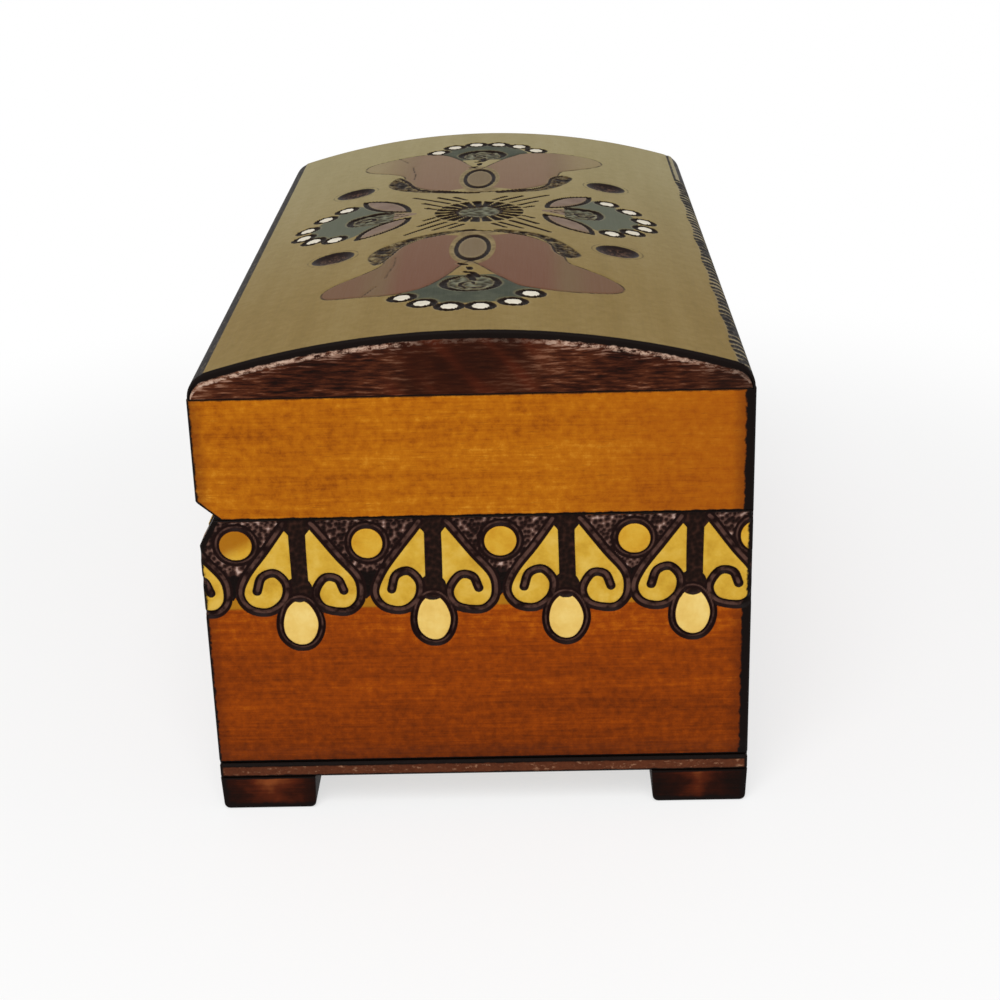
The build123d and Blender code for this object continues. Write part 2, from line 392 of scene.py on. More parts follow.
def draw_tulip(drawn, at, toward, beads, fan_reach):
    """Adds one tulip; toward is +1 for the near end and -1 for the far one."""
    middle = np.array([0, pattern_middle])
    here = (at - middle) * (1, toward) + middle
    u, v = here.T
    petals = in_outline(here, curve(tulip_petals, closed=True))
    seed = in_oval(here, *tulip_seed)
    halo = np.minimum(seed - 1.3, v - 19.5 + 0.04 * u**2)
    fan = np.max([in_disc(here, tulip_eye, fan_reach), fan_foot - v, -petals], 0)
    eye = in_disc(here, tulip_eye, eye_radius)
    add(drawn, edge=petals, seed=seed, petal=np.maximum(petals, -halo), teal=fan, eye=eye)
    for sepal in tulip_sepals:
        inner = in_outline(here, curve(sepal, closed=True))
        add(drawn, sepal=inner, cut=np.maximum(band(inner, -0.5, 0.1), petals - 1.2))
    for fold in tulip_folds:
        add(drawn, fold=near_line(here, curve(fold)))
    swell = 0.75 * np.clip((v - 50) / 3, 0, 1)
    thin = np.clip(np.abs(u - tulip_eye[0]) / 5, 0, 1)
    grooves = [
        np.maximum(band(petals, -0.4, 0.4), v - 19),
        np.abs(eye - 0.3) - np.maximum(swell, 0.5 * thin + 0.1),
        band(seed, -0.42, 0.42),
        in_strokes(here, tulip_strokes, 0.6),
        near_line(here, spiral(tulip_eye, 0.6, 3.2)) - 0.35,
    ]
    add(drawn, cut=np.min(grooves, 0))
    add_beads(drawn, here, beads)


# %% [markdown]
# A side flower is built like a tulip, but its petals are two plain leaves, and its eye is
# a lens that a nook of short dashes cuts off. The two side flowers differ a little, as
# the carver's hand left them, so each has its own few places.

# %% The side flowers and the rosette
right_flower = {
    "side": 1,
    "leaves": [((13.5, -4.8), (23.3, -19)), ((13, 0.2), (23, 14.4))],
    "eye": (21, -2.3),
    "beads": [(26.6, -14.2), (31.2, -9.8), (33.8, -3.5), (33.7, 2.5), (30.9, 7.6), (26.6, 11.2)],
}
left_flower = {
    "side": -1,
    "leaves": [((-14, -4), (-25.2, -19.8)), ((-13.8, -0.2), (-24.5, 14))],
    "eye": (-22.8, -2.1),
    "beads": [
        (-28.5, -15), (-32.6, -10.6), (-35.8, -4.1), (-35.9, 1.9), (-33.4, 6.7), (-28.8, 9.5)
    ],
}
leaf_half, lens_half, lens_end = 3.2, 4.2, 6.2
nook_start, nook_end = 12.8, 17.4
nook_dashes = [[(14.6, 0.3), (16.2, 1)], [(15.4, -0.9), (17, -1.6)], [(16.6, 0), (17.8, -0.2)]]
ray_group = [
    ((2.9, 10.5), (5.4, 13.5)), ((4.3, 9.4), (8.7, 14)), ((6.4, 8), (14.1, 15.9)),
    ((8, 5.7), (11.8, 9.9)), ((9.1, 3.6), (11, 5.3)),
]
rosette, rosette_eye = (0, -0.9), 4.5
wedges, wedge_start, wedge_end = 21, 4.7, 9.1
print("the rosette has", wedges, "wedge cuts and", 4 * len(ray_group), "rays")

# %% [markdown]
# The rosette between the flowers is a round eye, a ring of wedge cuts made with the corner
# of a chisel, and rays. The four quarters of its rays mirror each other, so they are listed
# for one quarter, and a place in another quarter is folded over onto it.

# %% Drawing the side flowers and the rosette
def draw_side_flower(drawn, at, side, leaves, eye, beads):
    """Adds one side flower: two leaves, an eye and a fan edged with beads."""
    reach = side * at[:, 0]
    past_nook = nook_end - reach
    back = [(u - side * 1.6, v) for u, v in beads]
    tips = [(u + side * 1.2, v - math.copysign(3, v)) for _, (u, v) in leaves]
    fan = curve([(side * 16, eye[1])] + tips[:1] + back + tips[1:], closed=True, steps=3)
    add(drawn, teal=np.maximum(in_outline(at, fan), past_nook))
    for leaf_tips in leaves:
        leaf = in_lens(at, *leaf_tips, leaf_half)
        drawn["teal"] = np.maximum(drawn["teal"], -leaf)
        add(drawn, leaf=leaf, cut=np.abs(leaf + 0.5) - 0.56)
    lens = in_lens(at, (eye[0] + side * 6, eye[1]), (side * 13.6, eye[1]), lens_half)
    lens = np.maximum(lens, in_disc(at, (eye[0] - side * 2.4, eye[1]), lens_end))
    dashes = [[(side * u, eye[1] + v) for u, v in dash] for dash in nook_dashes]
    grooves = [
        np.max([np.abs(lens) - 0.66, 0.3 - drawn["leaf"], past_nook], 0),
        near_line(at, spiral(eye, math.pi * (side < 0), 2.4)) - 0.45,
        in_strokes(at, dashes, 0.3),
    ]
    add(drawn, eye=np.maximum(lens, past_nook), cut=np.min(grooves, 0))
    spread = np.abs(at[:, 1] - eye[1]) - 0.5 * (reach - 12)
    add(drawn, leaf=np.max([-past_nook, nook_start - reach, spread, -drawn["leaf"]], 0))
    add_beads(drawn, at, beads)


def draw_rosette(drawn, at):
    """Adds the rosette with its ring of wedge cuts, and the rays round it."""
    away = at - rosette
    reach, turn = np.hypot(*away.T), np.arctan2(away[:, 1], away[:, 0])
    share = np.abs((turn * wedges / (2 * math.pi)) % 1 - 0.5)
    slots = (share - 0.4) * 2 * math.pi * reach / wedges
    grooves = [
        np.maximum(slots, band(reach, wedge_start, wedge_end)),
        np.abs(reach - rosette_eye) - 0.3,
        in_strokes(np.abs(away), ray_group, 0.5),
    ]
    add(drawn, eye=reach - rosette_eye, cut=np.min(grooves, 0))


# %% [markdown]
# The lid's long edges are burned. Toward the front the edge is one black band. Toward the
# back it breaks into short slanted strokes, as if the hot tool had been rocked, and ends
# in plain lines. `border` measures both. Four shallow gouges, each the print of a ball,
# stand between the flowers.

# %% The burned edges and the four dished gouges
dish_radius, dish_depth = 4.2, 1.1
dish_places = [(u, v) for u in (-27.6, 27) for v in (-29.8, 25)]
front_line, back_line, shoulder_line = -44.5, 44.1, 47.6
stroke_pitch, stroke_half, stroke_slant = 2.6, 0.98, 0.6
strokes_end = -55
print("gouges at", dish_places)


def draw_borders(drawn, at):
    """Adds the burned edge at the front and the burned strokes at the back."""
    u, v = at.T
    broad = stroke_half + 0.24 * np.sin(v / 4.3) * np.sin(v / 9.1 + 1) + 0.1 * np.sin(v * 1.7)
    stroke = np.abs((v + stroke_slant * u) % stroke_pitch - stroke_pitch / 2) - broad
    strokes = np.maximum(back_line + 0.5 * np.sin(v / 5.7) ** 2 - u, stroke)
    lines = np.maximum(0.5 - np.abs(u - back_line - 1.2), back_line - u)
    back = np.where(v > strokes_end, strokes, lines)
    add(drawn, border=np.min([u - front_line, back, shoulder_line - u], 0))


# %% [markdown]
# All the parts meet in one dictionary of layers. The carving at a vertex is as deep as the
# deepest cut that passes there, so grooves may cross without adding up.

# %% The whole pattern and its depth
def lid_pattern(u, v):
    """Distances to every part of the lid's pattern."""
    plain = np.stack([u, v], 1)
    at = wobble(plain, 5, 0.1, 36)
    drawn = {name: np.full(len(at), AWAY) for name in lid_names}
    draw_tulip(drawn, at, 1, near_beads, near_fan)
    draw_tulip(drawn, at, -1, far_beads, far_fan)
    for flower in (left_flower, right_flower):
        draw_side_flower(drawn, at, **flower)
    draw_rosette(drawn, at)
    draw_borders(drawn, plain)
    drawn["dish"] = np.min([in_disc(plain, place, dish_radius) for place in dish_places], 0)
    drawn["pit"] = pits(at, 1.5, 12)
    return drawn


def lid_depth(drawn):
    """How deep the lid is cut, in millimetres."""
    ball = (dish_radius**2 + dish_depth**2) / (2 * dish_depth)
    reach = np.clip(drawn["dish"] + dish_radius, 0, dish_radius)
    punched = np.minimum(drawn["sepal"], drawn["eye"])
    return np.max(
        [
            np.sqrt(ball**2 - reach**2) - ball + dish_depth,
            0.42 * hollow(drawn["cut"], 0.5),
            np.clip(-punched / 0.4, 0, 1) * (0.12 + 0.4 * drawn["pit"] ** 2),
            0.14 * hollow(np.abs(drawn["edge"]) - 0.35, 0.35),
            0.14 * hollow(drawn["fold"] - 0.35, 0.35),
            0.15 * hollow(drawn["border"], 0.4),
        ],
        0,
    )


print("the lid's drawing has", len(lid_pattern(np.zeros(1), np.zeros(1))), "layers")

# %% [markdown]
# ## Boards as one skin
# A carved board needs many vertices on its face and few elsewhere. So each board starts
# as a grid, with columns and rows crowded only where there is carving. Its open rim is
# then extruded back in rings, which gives the thickness and the lap at the corner, and
# the last ring is closed with one face.

# %% Marking out and building a board
def marks(start, *stretches):
    """Places from start through each (end, longest step) stretch."""
    places = [np.array([start], float)]
    for end, step in stretches:
        last = places[-1][-1]
        count = math.ceil(abs(end - last) / step - 1e-6)
        places.append(np.linspace(last, end, count + 1)[1:])
    return np.concatenate(places)


print("a millimetre in halves and then two whole ones:", marks(0, (1, 0.5), (3, 1)))


def fall(gap, radius):
    """How far a rounded edge falls away at a distance gap from the edge."""
    left = radius - min(max(gap, 0), radius)
    return radius - math.sqrt(radius**2 - left**2)


def grid(columns, rows):
    """A flat bmesh grid with a vertex at every crossing of columns and rows."""
    bm = bmesh.new()
    across, up = len(columns) - 1, len(rows) - 1
    bmesh.ops.create_grid(bm, x_segments=across, y_segments=up, size=1)
    for vert in bm.verts:
        column, row = round((vert.co.x + 1) / 2 * across), round((vert.co.y + 1) / 2 * up)
        vert.co = (columns[column], rows[row], 0)
    return bm


def draw_back(bm, edges, place):
    """Extrudes open edges once and puts each new vertex where place says."""
    drawn = bmesh.ops.extrude_edge_only(bm, edges=edges)["geom"]
    for vert in drawn:
        if isinstance(vert, bmesh.types.BMVert):
            vert.co = place(*vert.co)


def open_edges(bm):
    """The edges with a face on one side only."""
    return [edge for edge in bm.edges if edge.is_boundary]


def close(bm):
    """Closes every hole with one face."""
    bmesh.ops.holes_fill(bm, edges=open_edges(bm), sides=0)


# %% [markdown]
# A plank's face is the grid, sunk where its front says. Each ring is the open rim, extruded
# once and held to a smaller reach, so one function makes boards with and without a lip. The
# finger notch is then planed off an end board with a single cut, as a joiner would do it.

# %% A plank and its finger notch
def plank(columns, rows, front, rings):
    """A board: front(across, up) is its face's depth, rings are (depth, reach, inset)."""
    bm = grid(columns, rows)
    for vert in bm.verts:
        vert.co.z = -front(vert.co.x, vert.co.y)
    for depth, reach, inset in rings:
        low, high = rows[0] + inset, rows[-1] - inset

        def place(across, up, _):
            return (min(max(across, -reach), reach), min(max(up, low), high), -depth)

        draw_back(bm, open_edges(bm), place)
    close(bm)
    return bm


def cut_notch(bm, side, depth, height, upward):
    """Planes the finger notch off one corner of an end board, and closes the cut."""
    geometry = bm.verts[:] + bm.edges[:] + bm.faces[:]
    bmesh.ops.bisect_plane(
        bm,
        geom=geometry,
        plane_co=(side * half_width, parting - upward * height, 0),
        plane_no=(side * height, upward * depth, 0),
        clear_outer=True,
    )
    close(bm)


trial = plank(marks(-4, (4, 1)), marks(0, (2, 1)), lambda across, up: 0, [(1, 4, 0)])
print("a small plank with one ring has", len(trial.verts), "vertices")
trial.free()

# %% [markdown]
# The finished skin is smooth wherever it only curves, and an edge sharper than 50
# degrees keeps its crease. A board is made lying in its own plane (across, up, out) and
# stood against its wall afterwards.

# %% From a flat board to a piece of the box
sharp_angle = math.radians(50)
walls = {"right": (0, 1, 1, 1), "left": (0, -1, 1, -1), "front": (1, -1, 0, 1)}
wall_reach = (half_length, half_width)
print("an edge is kept sharp above", round(math.degrees(sharp_angle)), "degrees")


def to_mesh(bm, name):
    """Turns a bmesh into a mesh with smooth faces and sharp corners."""
    bmesh.ops.recalc_face_normals(bm, faces=bm.faces[:])
    for face in bm.faces:
        face.smooth = True
    for edge in bm.edges:
        if edge.is_manifold and edge.calc_face_angle() > sharp_angle:
            edge.smooth = False
    mesh = bpy.data.meshes.new(name)
    bm.to_mesh(mesh)
    bm.free()
    return mesh


def get_places(mesh):
    """Where a mesh's vertices are, one row for each."""
    places = np.empty(len(mesh.vertices) * 3)
    mesh.vertices.foreach_get("co", places)
    return places.reshape(-1, 3)


def set_places(mesh, places):
    """Moves a mesh's vertices to these places."""
    mesh.vertices.foreach_set("co", places.ravel())
    mesh.update()


# %% [markdown]
# Every wall is a flat board up to here. Standing it up only swaps and turns its axes, so
# one way of carving serves all four sides. The distances travel with the mesh as point
# attributes, and the material reads them back under the same names.

# %% Standing a board in its place
def stand_up(places, wall):
    """Moves places from (across, up, out) to where that wall of the box is."""
    axis, side, across_axis, turn = walls[wall]
    stood = np.empty_like(places)
    stood[:, axis] = side * (wall_reach[axis] + places[:, 2])
    stood[:, across_axis] = turn * places[:, 0]
    stood[:, 2] = places[:, 1]
    return stood


print("the middle of the right wall stands at", stand_up(np.zeros((1, 3)), "right"))


def give(mesh, drawn):
    """Stores each distance on the mesh as an attribute for the material."""
    for name, values in drawn.items():
        layer = mesh.attributes.new(name, "FLOAT", "POINT")
        layer.data.foreach_set("value", values.astype(np.float32))


def add_object(name, data):
    """Puts a new object into the scene."""
    made = bpy.data.objects.new(name, data)
    bpy.context.scene.collection.objects.link(made)
    return made


def add_piece(name, mesh, body, node, material):
    """Puts a finished mesh, measured in millimetres, into the scene as a piece."""
    set_places(mesh, get_places(mesh) * MM)
    mesh.materials.append(material)
    piece = add_object(name, mesh)
    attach(piece, body)
    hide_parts(node)
    print(name, "has", len(mesh.vertices), "vertices and", len(mesh.polygons), "faces")


# %% [markdown]
# ## A small language for materials
# Node trees are easier to read as sums. `Value` wraps a socket, and its operators add
# the Math nodes. `Recipe.node` adds any other node: its type, its settings, then the
# values or links of its sockets. A recipe also knows the point on the object, in
# millimetres, and the wood of this box is written from little else.

# %% Sockets that can be added and multiplied
class Value:
    """One output socket of a recipe."""

    def __init__(self, recipe, socket):
        self.recipe, self.socket = recipe, socket

    def math(self, operation, *values):
        """A Math node with these values in its sockets."""
        return self.recipe.node("ShaderNodeMath", {"operation": operation}, dict(enumerate(values)))

    def __getitem__(self, name):
        """Another output of the same node."""
        return Value(self.recipe, self.socket.node.outputs[name])

    def __add__(self, other):
        return self.math("ADD", self, other)

    def __radd__(self, other):
        return self.math("ADD", other, self)

    def __sub__(self, other):
        return self.math("SUBTRACT", self, other)

    def __rsub__(self, other):
        return self.math("SUBTRACT", other, self)

    def __mul__(self, other):
        return self.math("MULTIPLY", self, other)

    def __rmul__(self, other):
        return self.math("MULTIPLY", other, self)

    def __abs__(self):
        return self.math("ABSOLUTE", self)

    def most(self, *others):
        """The greatest of this value and the others."""
        greatest = self
        for other in others:
            greatest = self.math("MAXIMUM", greatest, other)
        return greatest

    def least(self, other):
        """The smaller of the two."""
        return self.math("MINIMUM", self, other)

    def rise(self, low, high):
        """0 up to low and 1 from high on, with a soft step between."""
        settings = {"interpolation_type": "SMOOTHSTEP"}
        inputs = {"Value": self, "From Min": low, "From Max": high}
        return self.recipe.node("ShaderNodeMapRange", settings, inputs)

    def inside(self, blur=0.07):
        """1 where a distance is below zero, with an edge blur millimetres soft."""
        return self.rise(blur, -blur)


# %% [markdown]
# A recipe fills one node tree. It could be clicked together in the shader editor, but
# ten materials share most of their steps, and a step with a name can be used again.

# %% A recipe for a material
class Recipe:
    """A material, or the world, under construction."""

    def __init__(self, name, shelf=bpy.data.materials):
        self.made = shelf.new(name)
        self.made.use_nodes = True
        self.tree = self.made.node_tree
        self.tree.nodes.clear()

    def node(self, kind, settings=None, inputs=None, output=0):
        """Adds a node: settings first, then the values or links of its sockets."""
        made = self.tree.nodes.new(kind)
        for name, value in (settings or {}).items():
            if name == "stops":
                self.set_stops(made.color_ramp, value)
            else:
                setattr(made, name, value)
        for name, value in (inputs or {}).items():
            if isinstance(value, Value):
                self.tree.links.new(value.socket, made.inputs[name])
            else:
                made.inputs[name].default_value = value
        return Value(self, made.outputs[output]) if made.outputs else made

    def set_stops(self, ramp, stops):
        """Gives a colour ramp its (place, colour) stops."""
        while len(ramp.elements) < len(stops):
            ramp.elements.new(1)
        for element, (place, colour) in zip(ramp.elements, stops):
            element.position, element.color = place, colour

    @cached_property
    def place(self):
        """The point on the object, in millimetres."""
        point = self.node("ShaderNodeTexCoord")["Object"]
        scale = {"operation": "SCALE"}
        return self.node("ShaderNodeVectorMath", scale, {"Vector": point, "Scale": 1 / MM})

    @cached_property
    def parts(self):
        """That point's x, y and z."""
        split = self.node("ShaderNodeSeparateXYZ", inputs={"Vector": self.place})
        return split["X"], split["Y"], split["Z"]

    def noise(self, scale, detail=2.0, roughness=0.5):
        """Noise from 0 to 1; scale is in patches per millimetre, for all axes or each."""
        at = self.place
        if isinstance(scale, tuple):
            at = self.node("ShaderNodeVectorMath", {"operation": "MULTIPLY"}, {0: at, 1: scale})
            scale = 1.0
        inputs = {"Vector": at, "Scale": scale, "Detail": detail, "Roughness": roughness}
        return self.node("ShaderNodeTexNoise", inputs=inputs)

    def ragged(self, scale, reach):
        """How far a rough edge strays, at most reach millimetres either way."""
        return self.noise(scale, 3) * (2 * reach) - reach

    def drawn(self, name):
        """A distance that was stored on the mesh."""
        return self.node("ShaderNodeAttribute", {"attribute_name": name})["Fac"]

    def mix(self, share, under, over):
        """Colour over laid on colour under where share is 1."""
        inputs = {0: share, 6: under, 7: over}
        return self.node("ShaderNodeMix", {"data_type": "RGBA"}, inputs, output=2)

    def paint(self, colour, layers, blur=0.07):
        """Lays paints, in turn, on the stored parts of a drawing that they are named for."""
        for name, paint in layers.items():
            colour = self.mix(self.drawn(name).inside(blur), colour, paint)
        return colour

    def tones(self, share, *colours):
        """A smooth run of colours as share goes from 0 to 1."""
        last = len(colours) - 1
        stops = [(number / last, colour) for number, colour in enumerate(colours)]
        return self.node("ShaderNodeValToRGB", {"stops": stops}, {"Fac": share})

    def bump(self, height, distance, strength=0.5):
        """A normal bent by height, where 1 stands distance millimetres high."""
        inputs = {"Height": height, "Distance": distance * MM, "Strength": strength}
        return self.node("ShaderNodeBump", inputs=inputs)

    def finish(self, **sockets):
        """Ends the recipe in one Principled shader and gives the material."""
        inputs = {name.replace("_", " "): value for name, value in sockets.items()}
        shader = self.node("ShaderNodeBsdfPrincipled", inputs=inputs)
        self.node("ShaderNodeOutputMaterial", inputs={"Surface": shader})
        print(self.made.name, "is built from", len(self.tree.nodes), "nodes")
        return self.made


def rgb(red, green, blue):
    """A colour as a paint program shows it, turned into the light that Blender mixes."""
    light = []
    for part in (red, green, blue):
        part /= 255
        light.append(part / 12.92 if part <= 0.04045 else ((part + 0.055) / 1.055) ** 2.4)
    return (*light, 1.0)


print("a tone of 128 is", round(rgb(128, 128, 128)[0], 3), "of full light")

# %% [markdown]
# ## Wood
# Wood is not one colour: fibres run along the board as fine streaks, broad bands of
# early and late wood drift under them, and stain gathers in the pores. All three are
# noises stretched along the grain. `along` names the axis that the board's grain follows,
# so the end boards and the long boards get the same wood, turned.

# %% The grain
soot = rgb(16, 9, 7)
sheen = 0.05


def grain(recipe, along):
    """Fine fibres, broad bands and short pores along one axis, each from 0 to 1."""

    def stretch(length, breadth):
        return tuple(length if axis == along else breadth for axis in range(3))

    fibres = recipe.noise(stretch(0.09, 2.6), 3, 0.6)
    bands = recipe.noise(stretch(0.012, 0.16), 3, 0.55)
    pores = recipe.noise(stretch(0.35, 5.5), 2, 0.6).rise(0.6, 0.74)
    return fibres, bands, pores


def raw_wood(recipe, fibres, bands):
    """Pale wood that no stain has reached."""
    share = bands * 0.5 + fibres * 0.5
    return recipe.tones(share, rgb(196, 160, 112), rgb(214, 182, 134), rgb(226, 198, 154))


def wall_gaps(recipe):
    """Distances inward from the box's outer faces, and back from its upright corners."""
    x, y, _ = recipe.parts
    from_ends, from_sides = half_length - abs(x), half_width - abs(y)
    return from_ends.least(from_sides), from_ends.most(from_sides)


# %% [markdown]
# Stain and lacquer were brushed on the outside only, so the inner faces stay raw. The
# upright corners were burned with a hot tool: a black line, widest at the back corners,
# with a brown scorch beside it. Both follow from where a point lies on the box.

# %% The stained and burned outside of a board
def over_notch(recipe, depth, height, upward):
    """Distance over the slope of a board's half of the finger notch, in it below zero."""
    _, y, z = recipe.parts
    run = math.hypot(depth, height)
    outward = (y + half_width) * (-height / run)
    return outward + (z - parting + upward * height) * (upward * depth / run)


def corner_burn(recipe, narrow=0.0):
    """The black burn along the upright corners and the scorch beside it."""
    _, back = wall_gaps(recipe)
    ragged = recipe.noise(0.9, 3, 0.6) * 1.1 - 0.55
    breadth = recipe.parts[1].rise(0, 10) * (1.15 - narrow) + 0.5
    gap = back + ragged - breadth
    return gap.rise(0.25, -0.15), gap.rise(2.6, 0)


def notch_burn(recipe, over, ragged, breadth):
    """The black burn on and beside a board's half of the finger notch."""
    return (over + breadth + ragged).rise(-0.2, 0) * recipe.parts[1].rise(-38, -40)


def rim_burn(gap):
    """The thin black line along a board's rim, from the distance to the line's edge."""
    return gap.rise(0.15, -0.05)


def lacquer(recipe, colour, over, fibres, bands, pores):
    """Ends a board's recipe: the colour and a coat outside, raw wood inside."""
    depth, _ = wall_gaps(recipe)
    coat = depth.rise(1.15, 0.95).most(over.rise(-1.15, -0.95))
    return recipe.finish(
        Base_Color=recipe.mix(coat, raw_wood(recipe, fibres, bands), colour),
        Roughness=0.72 - coat * (0.32 - fibres * 0.16),
        Normal=recipe.bump(fibres - pores * 0.6, 0.05),
        Specular_IOR_Level=sheen,
    )


# %% [markdown]
# ## Lid boards
# The lid's frame was stained a light amber and lacquered. Its lower edge carries a thin
# burned line at the parting and its upper edge a fainter one under the domed board.

# %% The amber lid wood
def lid_wood(name, along):
    """Amber wood for the lid's frame, burned at its edges."""
    recipe = Recipe(name)
    _, y, z = recipe.parts
    fibres, bands, pores = grain(recipe, along)
    blotch, mottle = recipe.noise(0.05), recipe.noise(0.7, 4, 0.7)
    amber = recipe.tones(
        bands * 0.9 + fibres * 0.8 + blotch * 0.7 + mottle * 1.5 - 1.45,
        rgb(136, 68, 4), rgb(162, 88, 6), rgb(177, 103, 10), rgb(198, 128, 30),
    )
    amber = recipe.mix(y.rise(5, 46) * 0.5, amber, rgb(150, 72, 8))
    amber = recipe.mix(pores * 0.35, amber, rgb(112, 54, 8))
    black, scorch = corner_burn(recipe)
    amber = recipe.mix(scorch * 0.55, amber, rgb(96, 40, 8))
    ragged = recipe.ragged(0.7, 0.2)
    low = rim_burn(z - parting - 0.25 + ragged)
    high = rim_burn(lid_wall_top - z - 0.15 + ragged)
    over = over_notch(recipe, lid_notch_depth, lid_notch_height, -1)
    burned = black.most(low, high * 0.7, notch_burn(recipe, over, ragged, 0.25))
    amber = recipe.mix(burned, amber, soot)
    return lacquer(recipe, amber, over, fibres, bands, pores)


lid_end_wood = lid_wood("amber_wood_across", 1)
lid_long_wood = lid_wood("amber_wood_along", 0)

# %% [markdown]
# ## Base boards
# The base is stained a redder orange, and it is darker toward the bottom. Over it lie the
# frieze's paints: yellow petals, gold roundels, cream drops, and a nearly black stain in
# every cut, with a painted highlight along the middle of each cut. Grain shows faintly
# through the paints, because they are thin.

# %% The frieze's paints
def frieze_paint(recipe, under):
    """Lays the frieze's colours over the board's own."""
    _, y, z = recipe.parts
    pit, cut = recipe.drawn("pit"), recipe.drawn("cut")
    shade = recipe.noise(0.3, 3, 0.6) * 1.6 - 0.3
    gold = recipe.tones(shade, rgb(184, 128, 26), rgb(202, 154, 46), rgb(212, 172, 66))
    first = y.rise(-36, -39) * (z - y * 0.5).rise(69.5, 72.5)
    worn = z.rise(54.6, 55.6) * 0.16 + z.rise(49, 47) * 0.16
    neck = z.rise(46.6, 45.4)
    punched = recipe.tones(
        pit * 1.05 + shade * 0.5 - worn + neck * 0.7 - 0.2,
        rgb(192, 164, 152), rgb(104, 76, 66), rgb(40, 22, 18), rgb(16, 8, 6),
    )
    # Painted highlight: each cut is painted paler along its middle.
    painted_groove_highlight = cut.rise(-0.4, -0.62) * recipe.noise(0.6).rise(0.3, 0.6)
    layers = {
        "petal": recipe.tones(shade, rgb(176, 130, 32), rgb(202, 160, 54), rgb(217, 182, 86)),
        "ground": punched,
        "roundel": recipe.mix(first * 0.85, gold, rgb(152, 88, 4)),
        "drop": recipe.tones(shade, rgb(212, 172, 84), rgb(225, 190, 104), rgb(234, 206, 128)),
        "stem": recipe.tones(pit, rgb(58, 34, 26), rgb(32, 17, 12), rgb(14, 7, 5)),
        "cut": recipe.mix(painted_groove_highlight * 0.8, rgb(24, 9, 7), rgb(92, 64, 55)),
    }
    colour = recipe.mix(recipe.drawn("web").inside(0.3) * 0.8, under, rgb(166, 116, 24))
    return recipe.paint(colour, layers)


# %% [markdown]
# The boards under the frieze get the same recipe with and without its paints, and with
# the grain turned. At the parting and along the finger notch they are burned black.

# %% The orange base wood
def base_wood(name, along, carved=True):
    """Orange wood for the base, with or without the frieze."""
    recipe = Recipe(name)
    x, _, z = recipe.parts
    fibres, bands, pores = grain(recipe, along)
    # The field is darker toward the bottom.
    field = recipe.tones(
        z.rise(8, 44) * 0.36 + bands * 0.9 + fibres * 0.8 + recipe.noise(0.7, 4, 0.7) * 1.3 - 1.2,
        rgb(96, 38, 3), rgb(122, 50, 3), rgb(144, 62, 3), rgb(172, 86, 8),
    )
    field = recipe.mix(pores * 0.4, field, rgb(84, 32, 6))
    black, scorch = corner_burn(recipe, z.rise(38.5, 41) * 0.9)
    field = recipe.mix(scorch * 0.5, field, rgb(76, 28, 6))
    colour = frieze_paint(recipe, field) if carved else field
    ragged = recipe.ragged(0.7, 0.2)
    low = rim_burn(z - wall_foot - 0.7 + ragged * 0.5)
    high = rim_burn(parting - z - 0.3 + ragged)
    over = over_notch(recipe, notch_depth, notch_height, 1)
    lip = abs(x).rise(half_length - corner_lip - 0.1, half_length - corner_lip)
    upper = (z - parting + notch_height).rise(0.3, 2.4).most(lip)
    burned = black.most(low, high, notch_burn(recipe, over, ragged, 0.8) * upper)
    return lacquer(recipe, recipe.mix(burned, colour, soot), over, fibres, bands, pores)


base_end_wood = base_wood("orange_wood_across", 1)
base_long_wood = base_wood("orange_wood_along", 0)
base_plain_wood = base_wood("orange_wood_plain", 0, carved=False)
